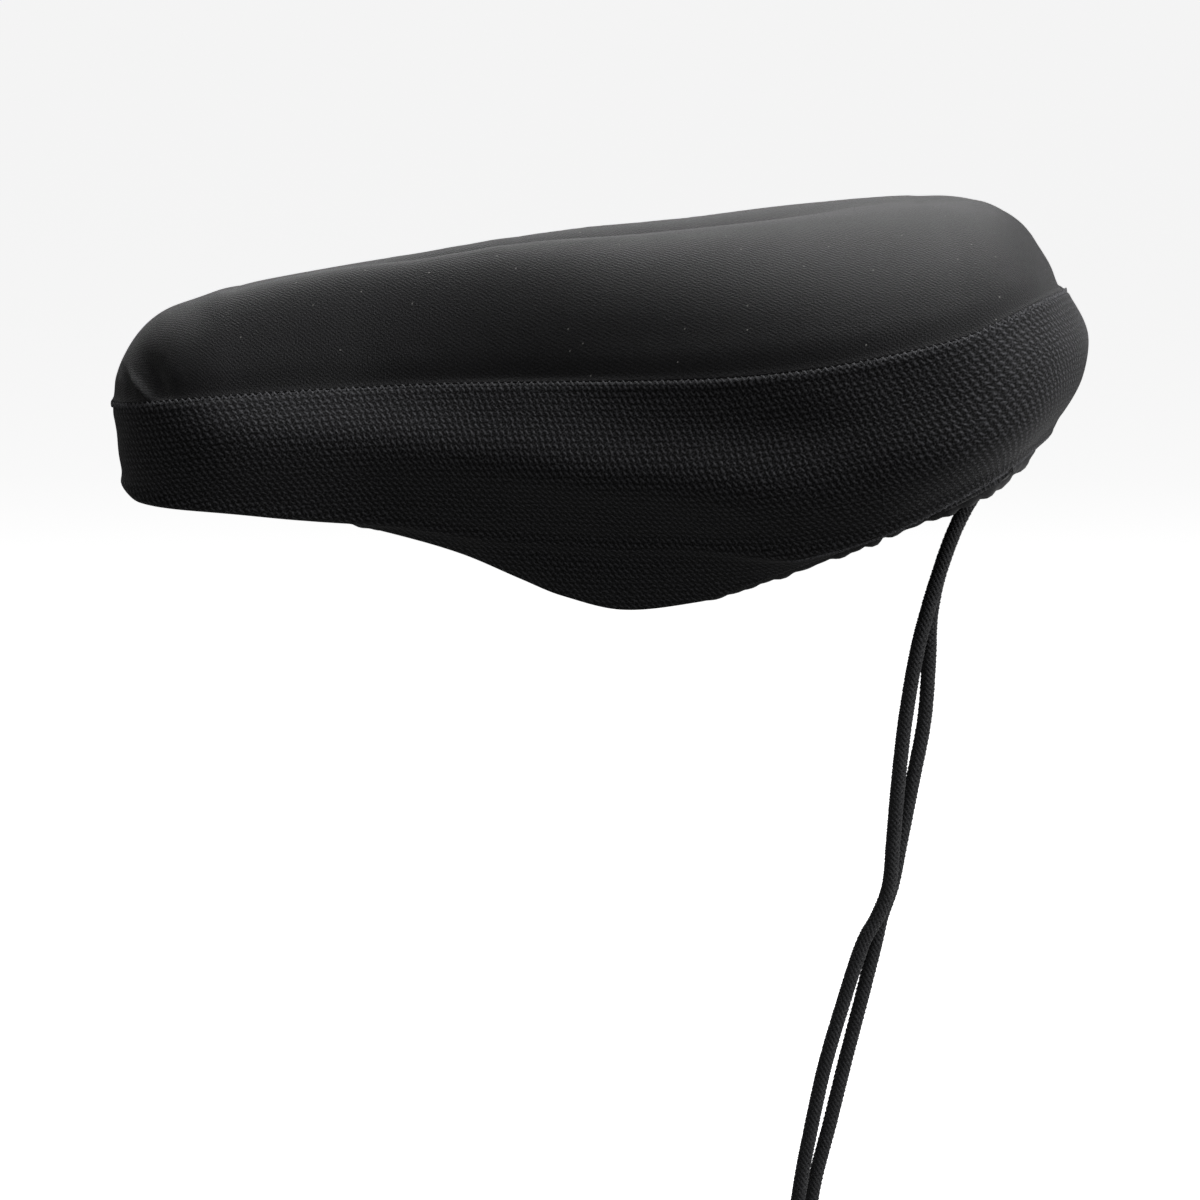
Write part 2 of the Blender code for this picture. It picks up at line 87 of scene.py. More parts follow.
def add_node(tree: NodeTree, kind: str, inputs: dict | None = None, **settings: Any) -> Node:
    """Add a node with its settings, values and links.

    Args:
        tree: The node tree that takes it.
        kind: The node's type.
        inputs: Socket name or number to a value, or to a socket or node to link.
        settings: Attributes of the node.

    Returns:
        The new node.
    """
    node = tree.nodes.new(kind)
    for name, value in settings.items():
        setattr(node, name, value)
    for key, value in (inputs or {}).items():
        if isinstance(value, (Node, NodeSocket)):
            socket = value.outputs[0] if isinstance(value, Node) else value
            tree.links.new(socket, node.inputs[key])
        else:
            node.inputs[key].default_value = value
    return node


def follow(points: Profile, x: Array) -> Array:
    """Read a smooth curve that never overshoots its points.

    Args:
        points: The (x, value) points, with x rising.
        x: Where the curve is read.

    Returns:
        The values, held level past both ends.
    """
    px, pz = np.array(points, float).T
    rise = np.diff(pz) / np.diff(px)
    before, after = rise[:-1], rise[1:]
    turning = before * after <= 0.0
    middle = np.where(turning, 0.0, 2.0 * before * after / np.where(turning, 1.0, before + after))
    slope = np.concatenate((rise[:1], middle, rise[-1:]))
    x = np.clip(np.asarray(x, float), px[0], px[-1])
    at = np.clip(np.searchsorted(px, x, side="right") - 1, 0, len(px) - 2)
    span = px[at + 1] - px[at]
    t = (x - px[at]) / span
    start = (1.0 + 2.0 * t) * (1.0 - t) ** 2 * pz[at]
    end = t * t * (3.0 - 2.0 * t) * pz[at + 1]
    lift = t * (1.0 - t) ** 2 * span * slope[at]
    fall = t * t * (t - 1.0) * span * slope[at + 1]
    return start + end + lift + fall


def smooth_step(low: float, high: float, value: Array) -> Array:
    """Return 0 below low, 1 above high, and an S-curve between."""
    share = np.clip((np.asarray(value, float) - low) / (high - low), 0.0, 1.0)
    return share * share * (3.0 - 2.0 * share)


def catmull_rom(points: Array, steps: int) -> Array:
    """Put a smooth curve through points.

    Args:
        points: The points, along the first axis.
        steps: Fine steps for each stretch between two points.

    Returns:
        The curve's points, the given ones among them.
    """
    padded = np.concatenate((points[:1], points, points[-1:]))
    before, start, end, after = padded[:-3], padded[1:-2], padded[2:-1], padded[3:]
    fine = []
    for step in range(steps):
        t = step / steps
        place = 2.0 * start + (end - before) * t
        place = place + (2.0 * before - 5.0 * start + 4.0 * end - after) * t * t
        place = place + (3.0 * start - before - 3.0 * end + after) * t**3
        fine.append(0.5 * place)
    curve = np.stack(fine, axis=1).reshape((-1,) + points.shape[1:])
    return np.concatenate((curve, points[-1:]))


def lengths_along(points: Array) -> Array:
    """Return the distance run at each point of a line, from its first point."""
    steps = np.linalg.norm(np.diff(points, axis=0), axis=-1)
    return np.concatenate((np.zeros_like(steps[:1]), np.cumsum(steps, axis=0)))


def space_evenly(points: Array, spacing: float) -> Array:
    """Set a line's points evenly.

    Args:
        points: The line's points.
        spacing: About how far apart the new ones are.

    Returns:
        The new points, from end to end.
    """
    run = lengths_along(points)
    count = max(2, int(round(run[-1] / spacing)) + 1)
    return read_line(points, run, np.linspace(0.0, run[-1], count))


def read_line(points: Array, run: Array, wanted: Array) -> Array:
    """Return the places on a line at the wanted distances along it."""
    return np.stack([np.interp(wanted, run, points[:, axis]) for axis in range(3)], axis=1)


def unevenness(points: Array, wavelength: float, seed: int, waves: int = 14) -> Array:
    """Return a slow random field of about -1 to 1.

    Args:
        points: Where it is read, with x, y, z on the last axis.
        wavelength: The usual distance from crest to crest.
        seed: Fixes the field.
        waves: How many waves are summed.

    Returns:
        One value for each point.
    """
    rng = np.random.default_rng(seed)
    heading = rng.normal(size=(waves, 3))
    heading /= np.linalg.norm(heading, axis=1, keepdims=True)
    pace = 2.0 * math.pi / (wavelength * rng.uniform(0.7, 1.5, waves))
    phase = rng.uniform(0.0, 2.0 * math.pi, waves)
    total = np.zeros(points.shape[:-1])
    for way, speed, shift in zip(heading, pace, phase):
        total += np.sin(points @ way * speed + shift)
    return total / math.sqrt(waves)


# ---- the worn shape ----


@dataclass
class WornShape:
    """The cover's form as it is worn, read from a few side profiles and its plan."""

    nose_x: float = -0.139
    rear_x: float = 0.1290
    nose_half_width: float = 0.033
    rear_half_width: float = 0.092
    nose_round: float = 0.036
    rear_round: float = 0.040
    rear_round_power: float = 3.0
    rear_round_fullness: float = 0.4
    flare_start_x: float = -0.070
    flare_end_x: float = 0.095
    panel_thickness: float = 0.0012
    skirt_thickness: float = 0.0016
    lining_thickness: float = 0.0010
    layer_gap: float = 0.0003
    seam_allowance: float = 0.0050
    column_step: float = 0.0015
    nose_column_step: float = 0.0006
    nose_run: float = 0.042

    seam: Profile = (
        (-0.139, -0.0225), (-0.111, -0.0187), (-0.055, -0.0149), (-0.014, -0.0125),
        (0.027, -0.0096), (0.053, -0.0062), (0.093, 0.0027), (0.124, 0.0130),
        (0.1275, 0.0120), (0.129, 0.0100),
    )
    crest: Profile = (
        (-0.103, 0.0101), (-0.084, 0.0136), (-0.056, 0.0187), (-0.014, 0.0241),
        (0.028, 0.0278), (0.056, 0.0311), (0.084, 0.0343), (0.0895, 0.0346),
    )
    under: Profile = (
        (-0.103, -0.0110), (-0.056, -0.0050), (-0.022, 0.0), (0.022, 0.0),
        (0.058, 0.0060), (0.091, 0.0115),
    )
    edge: Profile = (
        (-0.1355, -0.0460), (-0.130, -0.0485), (-0.104, -0.0503), (-0.056, -0.0541),
        (-0.022, -0.0577), (0.0, -0.0579), (0.025, -0.0562), (0.050, -0.0570),
        (0.062, -0.0543), (0.075, -0.0495), (0.092, -0.0405), (0.107, -0.0322),
        (0.119, -0.0262), (0.127, -0.0250),
    )
    bottom: Profile = (
        (-0.130, -0.0500), (-0.113, -0.0508), (-0.085, -0.0524), (-0.073, -0.0544),
        (-0.056, -0.0583), (-0.039, -0.0630), (-0.022, -0.0696), (-0.011, -0.0736),
        (0.006, -0.0768), (0.028, -0.0730), (0.041, -0.0674), (0.055, -0.0610),
        (0.065, -0.0566), (0.079, -0.0490), (0.092, -0.0412), (0.107, -0.0332),
        (0.119, -0.0278), (0.125, -0.0270),
    )
    bulge_inset: Profile = (
        (-0.139, 0.0012), (-0.125, -0.0008), (-0.095, -0.0048), (-0.020, -0.0052),
        (0.035, -0.0038), (0.093, -0.0050), (0.115, -0.0066), (0.129, -0.0074),
    )
    edge_inset: Profile = (
        (-0.139, 0.0030), (-0.120, 0.0040), (-0.084, 0.0050), (0.014, 0.0080), (0.093, 0.0085),
        (0.129, 0.0028),
    )
    bottom_inset: Profile = (
        (-0.139, 0.0090), (-0.084, 0.0095), (-0.022, 0.0140), (0.014, 0.0185),
        (0.055, 0.0165), (0.093, 0.0120), (0.129, 0.0052),
    )
    flat_share: Profile = (
        (-0.139, 0.10), (-0.100, 0.30), (0.030, 0.38), (0.075, 0.27), (0.110, 0.16),
        (0.129, 0.05),
    )
    dome_power: Profile = (
        (-0.139, 0.57), (-0.090, 0.65), (0.040, 0.66), (0.100, 0.72), (0.129, 1.08),
    )
    dome_sharpness: Profile = ((-0.139, 2.0), (0.095, 2.0), (0.129, 4.2))
    groove_width: Profile = ((-0.103, 0.0060), (-0.014, 0.0100), (0.050, 0.0125), (0.129, 0.0120))
    groove_depth: Profile = (
        (-0.103, 0.0), (-0.080, 0.0006), (-0.045, 0.0050), (0.030, 0.0064), (0.052, 0.0042),
        (0.070, 0.0018), (0.095, 0.0005), (0.129, 0.0),
    )

    def half_width(self, x: Array) -> Array:
        """Read the seam's half width, rounded off at the nose and at the rear.

        Args:
            x: Where it is read.

        Returns:
            The half widths.
        """
        flare = smooth_step(self.flare_start_x, self.flare_end_x, x)
        width = self.nose_half_width + (self.rear_half_width - self.nose_half_width) * flare
        nose = np.clip((self.nose_x + self.nose_round - x) / self.nose_round, 0.0, 1.0)
        rear = np.clip((x - self.rear_x + self.rear_round) / self.rear_round, 0.0, 1.0)
        width = width * np.sqrt(1.0 - nose**2)
        return width * (1.0 - rear**self.rear_round_power) ** self.rear_round_fullness

    def seam_plan(self) -> tuple[Array, Array, Array]:
        """Lay out the seam's plan on the near half, nose to rear.

        Returns:
            The points, their inward normals in plan, and the distance run along the seam.
        """
        share = (1.0 - np.cos(np.linspace(0.0, math.pi, 4000))) / 2.0
        x = self.nose_x + (self.rear_x - self.nose_x) * share
        dense = np.stack((x, -self.half_width(x), np.zeros_like(x)), axis=1)
        run = lengths_along(dense)
        fine_count = int(self.nose_run / self.nose_column_step)
        plain_count = int((run[-1] - self.nose_run) / self.column_step)
        fine = np.linspace(0.0, self.nose_run, fine_count, endpoint=False)
        plain = np.linspace(self.nose_run, run[-1], plain_count)
        points = read_line(dense, run, np.concatenate((fine, plain)))
        points[[0, -1], 1] = 0.0
        along = np.gradient(points, lengths_along(points), axis=0)
        along /= np.linalg.norm(along, axis=1, keepdims=True)
        inward = np.stack((-along[:, 1], along[:, 0], np.zeros(len(points))), axis=1)
        inward[0] = (1.0, 0.0, 0.0)
        inward[-1] = (-1.0, 0.0, 0.0)
        return points, inward, lengths_along(points)

    def spine(self, points: Array) -> Array:
        """Find where on the middle line the sections at these seam points start.

        Args:
            points: Points of the seam.

        Returns:
            A place on the middle line for each, at height 0.
        """
        low, high = self.nose_x + self.nose_round, self.rear_x - self.rear_round
        middle = np.zeros_like(points)
        middle[:, 0] = np.clip(points[:, 0], low, high)
        return middle

    def groove(self, x: Array, y: Array) -> Array:
        """Return the depth of the relief channel at a place on the crown."""
        return follow(self.groove_depth, x) * np.exp(-((y / follow(self.groove_width, x)) ** 2))


@dataclass(frozen=True)
class Dent:
    """A smooth hollow, or with a depth below 0 a swell, placed by its middle in side view."""

    x: float
    z: float
    half_length: float
    half_width: float
    depth: float
    slant: float = 0.0
    side: Side | None = None

    def apply(self, points: Array) -> Array:
        """Read how far the dent moves the cloth along its normals.

        Args:
            points: The cloth's points, with x, y, z on the last axis.

        Returns:
            The outward moves.
        """
        turn = math.radians(self.slant)
        dx, dz = points[..., 0] - self.x, points[..., 2] - self.z
        along = dx * math.cos(turn) + dz * math.sin(turn)
        across = dz * math.cos(turn) - dx * math.sin(turn)
        fade = np.exp(-((along / self.half_length) ** 2) - (across / self.half_width) ** 2)
        if self.side is not None:
            fade = fade * (points[..., 1] * self.side.value > 0.0)
        return -self.depth * fade


@dataclass
class Cloth:
    """One half of a cloth piece: a grid of points by column and row, with its own thread map."""

    points: Array
    threads: Array

    def normals(self) -> Array:
        """Find the outward unit normals of the near half's grid.

        Returns:
            One for each point, level with the middle plane on the middle line.
        """
        normal = np.cross(np.gradient(self.points, axis=1), np.gradient(self.points, axis=0))
        size = np.linalg.norm(normal, axis=-1, keepdims=True)
        normal = np.where(size > 1e-12, normal / np.maximum(size, 1e-12), (0.0, 0.0, 1.0))
        normal[np.abs(self.points[..., 1]) < 1e-9, 1] = 0.0
        return normal / np.linalg.norm(normal, axis=-1, keepdims=True)

    def moved(self, normals: Array, move: Array) -> Cloth:
        """Return the half with each point moved along its normal."""
        return Cloth(self.points + normals * move[..., None], self.threads)

    def mirrored(self) -> Cloth:
        """Return the far half."""
        return Cloth(self.points * (1.0, -1.0, 1.0), self.threads * (1.0, -1.0))


def down_lengths(points: Array) -> Array:
    """Return the distance run down each column of a grid of points."""
    return lengths_along(points.swapaxes(0, 1)).swapaxes(0, 1)


def fan_threads(spine: Array, seam: Array, points: Array) -> tuple[Array, Array]:
    """Lay a thread map out like a fan, from the spine toward the seam.

    Args:
        spine: Where each column starts.
        seam: Where each column heads.
        points: The cloth's points.

    Returns:
        The map, in metres, and each column's heading in plan.
    """
    reach = np.linalg.norm((seam - spine)[:, :2], axis=1, keepdims=True)
    heading = (seam - spine)[:, :2] / np.maximum(reach, 1e-9)
    return spine[:, None, :2] + heading[:, None] * down_lengths(points)[..., None], heading


# ---- meshes ----


def add_object(name: str, data: ID) -> Object:
    """Return a new object in the scene with this mesh, curve, lamp or camera."""
    piece = bpy.data.objects.new(name, data)
    bpy.context.scene.collection.objects.link(piece)
    return piece


def weld(mesh: Mesh, distance: float) -> None:
    """Join the mesh's vertices that lie within a distance of each other.

    Args:
        mesh: The mesh that is changed.
        distance: How far apart they may be.
    """
    body = bmesh.new()
    body.from_mesh(mesh)
    bmesh.ops.remove_doubles(body, verts=body.verts, dist=distance)
    body.to_mesh(mesh)
    body.free()


def vertex_places(mesh: Mesh, what: str = "co") -> Array:
    """Read a value of three numbers from each vertex.

    Args:
        mesh: The mesh.
        what: "co" for the places, "normal" for the normals.

    Returns:
        One row for each vertex.
    """
    values = np.empty(len(mesh.vertices) * 3)
    mesh.vertices.foreach_get(what, values)
    return values.reshape(-1, 3)


def made_mesh(piece: Object) -> Mesh:
    """Return a new mesh of what the piece's modifiers make of it."""
    graph = bpy.context.evaluated_depsgraph_get()
    return bpy.data.meshes.new_from_object(piece.evaluated_get(graph), depsgraph=graph)


def bake_modifiers(piece: Object) -> Object:
    """Make the piece's modifiers final in its mesh.

    Args:
        piece: A mesh object.

    Returns:
        The same object, with no modifiers.
    """
    made = made_mesh(piece)
    piece.modifiers.clear()
    piece.data = made
    made.name = piece.name
    return piece


def grid_faces(columns: int, rows: int) -> Array:
    """Return the four-cornered faces of a grid of points, numbered column by column."""
    number = np.arange(columns * rows).reshape(columns, rows)
    corners = (number[:-1, :-1], number[:-1, 1:], number[1:, 1:], number[1:, :-1])
    return np.stack(corners, axis=-1).reshape(-1, 4)


def thick_sheet(
    name: str,
    points: Array,
    threads: Array,
    faces: Array,
    thickness: float,
    weld_gap: float = 0.00003,
) -> Object:
    """Make a sheet with a thread map and give it its thickness inward.

    Args:
        name: The object's name.
        points: The outer surface's points.
        threads: Each point's place on the cloth, in metres.
        faces: The points' numbers, four to a face.
        thickness: The sheet's thickness.
        weld_gap: How far apart points may lie that become one.

    Returns:
        The object, a closed sheet.
    """
    mesh = bpy.data.meshes.new(name)
    mesh.from_pydata(points.tolist(), [], faces.tolist())
    layer = mesh.uv_layers.new(name="threads")
    layer.data.foreach_set("uv", threads[faces.ravel()].astype(np.float32).ravel())
    weld(mesh, weld_gap)
    mesh.shade_smooth()
    piece = add_object(name, mesh)
    wall = piece.modifiers.new("Thickness", "SOLIDIFY")
    wall.thickness = thickness
    wall.offset = -1.0
    return bake_modifiers(piece)


def cloth_object(name: str, near: Cloth, far: Cloth, thickness: float) -> Object:
    """Join the two halves of a cloth piece and give it its thickness inward.

    Args:
        name: The object's name.
        near: The half at -Y.
        far: The half at +Y, with as many columns and rows.
        thickness: The cloth's thickness.

    Returns:
        The object, a closed sheet with a thread map in metres.
    """
    faces = grid_faces(*near.points.shape[:2])
    points = np.concatenate((near.points.reshape(-1, 3), far.points.reshape(-1, 3)))
    threads = np.concatenate((near.threads.reshape(-1, 2), far.threads.reshape(-1, 2)))
    both = np.concatenate((faces, faces[:, ::-1] + len(points) // 2))
    return thick_sheet(name, points, threads, both, thickness)


def made_on_line(
    name: str, route: Array, tree: NodeTree | None = None, radius: float = 0.0
) -> Object:
    """Run a node tree on a line, or make it a round rod, and keep that as a plain mesh.

    Args:
        name: The new object's name.
        route: The line's points.
        tree: The node tree that takes the line.
        radius: The rod's radius, where there is no tree.

    Returns:
        The made object.
    """
    data = bpy.data.curves.new(name + "_route", "CURVE")
    data.dimensions = "3D"
    data.bevel_depth = radius
    data.bevel_resolution = 3
    data.use_fill_caps = True
    spline = data.splines.new("POLY")
    spline.points.add(len(route) - 1)
    for point, place in zip(spline.points, route):
        point.co = (*place, 1.0)
    guide = add_object(name + "_route", data)
    if tree is not None:
        guide.modifiers.new("Make", "NODES").node_group = tree
    mesh = made_mesh(guide)
    bpy.data.objects.remove(guide)
    mesh.name = name
    return add_object(name, mesh)


def softened(name: str, node: str, voxel: float, passes: int) -> Object:
    """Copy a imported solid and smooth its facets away.

    Args:
        name: The new object's name.
        node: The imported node.
        voxel: The grain of its new mesh.
        passes: How often it is smoothed.

    Returns:
        The smooth object.
    """
    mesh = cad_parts[node].data.copy()
    weld(mesh, 0.00001)
    piece = add_object(name, mesh)
    remesh = piece.modifiers.new("Even", "REMESH")
    remesh.mode = "VOXEL"
    remesh.voxel_size = voxel
    remesh.use_smooth_shade = True
    soften = piece.modifiers.new("Soften", "SMOOTH")
    soften.factor = 0.5
    soften.iterations = passes
    return bake_modifiers(piece)


def dress(piece: Object, material: Material, slot: str, *nodes: str) -> Object:
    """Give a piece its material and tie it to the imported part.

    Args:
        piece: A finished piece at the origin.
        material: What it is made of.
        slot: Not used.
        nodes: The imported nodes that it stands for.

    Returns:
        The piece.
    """
    piece.data.materials.clear()
    piece.data.materials.append(material)
    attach(piece, BODY)
    if nodes:
        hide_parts(*nodes)
    LOG.info("%s: %d faces", piece.name, len(getattr(piece.data, "polygons", ())))
    return piece


# ---- finishes ----


@dataclass(frozen=True)
class Finish:
    """What every finish of the cover shares."""

    name: str
    colour: str
    roughness: float
    specular: float = 0.3
    sheen: float = 0.0
    sheen_roughness: float = 0.5

    def shader(self) -> tuple[Material, Node]:
        """Start the material with the values that are the same all over.

        Returns:
            The material and its surface shader.
        """
        material = bpy.data.materials.new(self.name)
        tree = clean_tree(material)
        fixed = {
            "Base Color": linear(self.colour),
            "Roughness": self.roughness,
            "Specular IOR Level": self.specular,
            "Sheen Weight": self.sheen,
            "Sheen Roughness": self.sheen_roughness,
            "Sheen Tint": linear("#ffffff"),
        }
        surface = add_node(tree, "ShaderNodeBsdfPrincipled", fixed)
        add_node(tree, "ShaderNodeOutputMaterial", {"Surface": surface})
        return material, surface

    @staticmethod
    def cover(surface: Node, colour: Any, height: Any, strength: float, relief: float) -> None:
        """Give the surface its colour and its relief.

        Args:
            surface: The surface shader.
            colour: The socket with the colour.
            height: The socket with the height, from about 0 to 1.
            strength: How much of the relief shows.
            relief: The real height of 1, in metres.
        """
        tree = surface.id_data
        tree.links.new(colour, surface.inputs["Base Color"])
        sizes = {"Height": height, "Strength": strength, "Distance": relief}
        bump = add_node(tree, "ShaderNodeBump", sizes)
        tree.links.new(bump.outputs[0], surface.inputs["Normal"])


def clean_tree(block: Material | World) -> NodeTree:
    """Return the emptied node tree of a material or a world."""
    block.use_nodes = True
    block.node_tree.nodes.clear()
    return block.node_tree


def formula(tree: NodeTree, expression: Any) -> Any:
    """Build a formula from maths nodes.

    Args:
        tree: The tree that takes them.
        expression: A socket, a node, a number, or a tuple of an operation and its values,
            each of which may be a formula again.

    Returns:
        The socket, node or number that the formula comes to.
    """
    if not isinstance(expression, tuple):
        return expression
    operation, *values = expression
    parts = {at: formula(tree, value) for at, value in enumerate(values)}
    return add_node(tree, "ShaderNodeMath", parts, operation=operation).outputs[0]


def total(*terms: Any) -> Any:
    """Return the formula that adds up its terms."""
    return terms[0] if len(terms) == 1 else ("ADD", terms[0], total(*terms[1:]))


def grating(u: Any, v: Any, per_u: float, per_v: float, phase: float = 0.0) -> tuple:
    """Return the formula of a cosine wave over the thread map.

    Args:
        u: The map's first coordinate, in metres.
        v: The map's second coordinate.
        per_u: Waves in a metre along the first.
        per_v: Waves in a metre along the second.
        phase: A shift in radians.

    Returns:
        A formula for values from -1 to 1.
    """
    turn = 2.0 * math.pi
    along = ("MULTIPLY_ADD", u, per_u * turn, phase)
    return ("COSINE", ("MULTIPLY_ADD", v, per_v * turn, along))


def thread_axes(tree: NodeTree) -> tuple[Any, Any, Any]:
    """Return the thread map's vector and its two coordinates, in metres."""
    threads = add_node(tree, "ShaderNodeUVMap", uv_map="threads")
    parts = add_node(tree, "ShaderNodeSeparateXYZ", {0: threads})
    return threads, parts.outputs[0], parts.outputs[1]


def toned(tree: NodeTree, value: Any, low: float, high: float, dark: str, light: str) -> NodeSocket:
    """Turn a value into a colour between two.

    Args:
        tree: The tree that takes the nodes.
        value: The socket with the value.
        low: The value that is wholly dark.
        high: The value that is wholly light.
        dark: The dark colour.
        light: The light colour.

    Returns:
        The socket with the colour.
    """
    span = {"Value": value, "From Min": low, "From Max": high}
    tone = add_node(tree, "ShaderNodeMapRange", span)
    both = {0: tone, 6: linear(dark), 7: linear(light)}
    return add_node(tree, "ShaderNodeMix", both, data_type="RGBA").outputs[2]


@dataclass(frozen=True)
class TwillJersey(Finish):
    """Warp-knitted stretch jersey, dyed black: fine slanting ribs, a soft sheen, stray lint."""

    rib: float = 0.00125
    light_colour: str = "#303032"
    lint_colour: str = "#8f8d8a"
    lint_cells: float = 125.0
    lint_size: float = 0.028
    bare_share: float = 0.72

    def build(self) -> Material:
        """Make the material: ribs as bump and tone, fibre grain, and sparse pale lint.

        The real ribs are 0.7 mm apart; they are drawn a little coarser, so that they still
        show. The grain gives the eye the fuzz of the yarn, the patches an uneven tone.

        Returns:
            The material.
        """
        material, surface = self.shader()
        tree = material.node_tree
        threads, u, v = thread_axes(tree)
        inputs = {"Vector": threads, "Scale": 2200.0, "Detail": 2.0}
        fine = add_node(tree, "ShaderNodeTexNoise", inputs)
        inputs = {"Vector": threads, "Scale": 30.0, "Detail": 3.0}
        slow = add_node(tree, "ShaderNodeTexNoise", inputs)
        ribs = ("MULTIPLY", grating(u, v, -1.0 / self.rib, -1.0 / self.rib), 0.06)
        weave = formula(tree, total(ribs, fine))
        tone = total(("MULTIPLY", weave, 3.0), ("MULTIPLY", slow, 0.4))
        cloth = toned(tree, formula(tree, tone), 1.25, 2.20, self.colour, self.light_colour)
        cells = {"Vector": threads, "Scale": self.lint_cells}
        specks = add_node(tree, "ShaderNodeTexVoronoi", cells, voronoi_dimensions="2D").outputs
        near = ("LESS_THAN", specks["Distance"], self.lint_size)
        some = ("GREATER_THAN", specks["Color"], self.bare_share)
        lint = formula(tree, ("MULTIPLY", near, some))
        both = {0: lint, 6: cloth, 7: linear(self.lint_colour)}
        colour = add_node(tree, "ShaderNodeMix", both, data_type="RGBA").outputs[2]
        self.cover(surface, colour, weave, 0.9, 0.0004)
        return material


@dataclass(frozen=True)
class MeshKnit(Finish):
    """Knitted black spacer mesh: rows of slanting loops with painted highlight on top, painted
    shade in the gaps.
    """

    pitch: float = 0.0019
    row: float = 0.00176
    loop_length: float = 0.00084
    loop_width: float = 0.00026
    lean: float = 42.0
    drift: float = 0.0013
    # Painted shade in the gaps between loops and painted highlight on their tops; the yarn itself
    # is black.
    gap_painted_shade_colour: str = "#050506"
    yarn_painted_highlight_colour: str = "#6c6c70"

    def build(self) -> Material:
        """Make the material: each loop is a short leaning stroke, staggered row by row; the loops'
        tops are painted light as a highlight and the gaps between painted dark as shade.

        A slow drift keeps their rows from looking printed, and a fine fibre grain breaks
        each stroke up.

        Returns:
            The material.
        """
        material, surface = self.shader()
        tree = material.node_tree
        threads = thread_axes(tree)[0]
        noise, fibre = (
            add_node(tree, "ShaderNodeTexNoise", {"Vector": threads, "Scale": scale, "Detail": 2.0})
            for scale in (330.0, 1700.0)
        )
        inputs = {0: noise.outputs["Color"], 1: (0.5, 0.5, 0.5)}
        centred = add_node(tree, "ShaderNodeVectorMath", inputs, operation="SUBTRACT")
        inputs = {0: centred, 1: (self.drift, self.drift, 0.0), 2: threads}
        moved = add_node(tree, "ShaderNodeVectorMath", inputs, operation="MULTIPLY_ADD")
        u, v, _ = add_node(tree, "ShaderNodeSeparateXYZ", {0: moved}).outputs
        number = formula(tree, ("ROUND", ("DIVIDE", v, self.row)))
        down = formula(tree, ("SUBTRACT", v, ("MULTIPLY", number, self.row)))
        shift = ("MULTIPLY", ("FLOORED_MODULO", number, 2.0), self.pitch / 2.0)
        column = formula(tree, ("SUBTRACT", u, shift))
        nearest = ("ROUND", ("DIVIDE", column, self.pitch))
        across = formula(tree, ("SUBTRACT", column, ("MULTIPLY", nearest, self.pitch)))
        cosine, sine = math.cos(math.radians(self.lean)), math.sin(math.radians(self.lean))
        along = total(("MULTIPLY", across, cosine), ("MULTIPLY", down, sine))
        beside = total(("MULTIPLY", down, cosine), ("MULTIPLY", across, -sine))
        square = total(
            ("POWER", ("ABSOLUTE", ("DIVIDE", along, self.loop_length)), 2.0),
            ("POWER", ("ABSOLUTE", ("DIVIDE", beside, self.loop_width)), 2.0),
        )
        loop = ("POWER", 2.718, ("MULTIPLY", square, -1.0))
        height = total(("MULTIPLY", loop, 0.56), ("MULTIPLY", fibre, 1.2))
        height = formula(tree, height)
        # The loop height sets the colour: painted highlight on the loops' tops, painted shade in
        # the gaps.
        colour = toned(tree, height, 0.55, 1.35, self.gap_painted_shade_colour, self.yarn_painted_highlight_colour)
        self.cover(surface, colour, height, 0.8, 0.0003)
        return material


@dataclass(frozen=True)
class Grained(Finish):
    """A plain finish whose tone and relief follow one fine grain, such as yarn, tape or foam."""

    grain: float = 0.0005
    relief: float = 0.00015
    light_colour: str = "#262628"

    def build(self) -> Material:
        """Make the material: one grain over the object's own coordinates.

        Returns:
            The material.
        """
        material, surface = self.shader()
        tree = material.node_tree
        place = add_node(tree, "ShaderNodeTexCoord").outputs["Object"]
        inputs = {"Vector": place, "Scale": 1.0 / self.grain, "Detail": 3.0}
        grain = add_node(tree, "ShaderNodeTexNoise", inputs)
        colour = toned(tree, grain, 0.35, 0.7, self.colour, self.light_colour)
        self.cover(surface, colour, grain, 0.6, self.relief)
        return material


JERSEY = TwillJersey(
    "black_twill_jersey", "#151516", 0.62, specular=0.28, sheen=0.30, sheen_roughness=0.45
)
KNIT = MeshKnit(
    "black_spacer_mesh", "#101011", 0.72, specular=0.25, sheen=0.26, sheen_roughness=0.4
)
# The loops' black yarn is painted lighter than the cord's yarn, up to a pale grey: painted
# highlight where the loops catch the light.
LOOP_YARN_PAINTED_HIGHLIGHT = Grained(
    "black_loop_yarn_painted_highlight", "#2a2a2c", 0.7, specular=0.3, sheen=0.3, light_colour="#747478"
)
TAPE = Grained("black_woven_tape", "#19191a", 0.7, specular=0.3, sheen=0.3, light_colour="#434346")
YARN = Grained("black_spun_yarn", "#1a1a1b", 0.75, specular=0.3, sheen=0.3, grain=0.0004,
               light_colour="#4a4a4d")
FOAM = Grained("grey_open_cell_foam", "#3a3a3c", 0.95, specular=0.1, grain=0.0012,
               relief=0.0004, light_colour="#6a6a6d")
GEL = Grained("bluish_silicone_gel", "#8ea3b4", 0.25, specular=0.5, grain=0.004,
              relief=0.0001, light_colour="#a9bac8")
GRIP = Grained("black_grip_lining", "#0e0e0f", 0.85, specular=0.2, sheen=0.1, grain=0.0008,
               light_colour="#2a2a2c")
RUBBER = Grained("black_grip_rubber", "#161617", 0.5, specular=0.4, grain=0.0006,
                 relief=0.00005, light_colour="#1f1f20")


# ---- crown ----


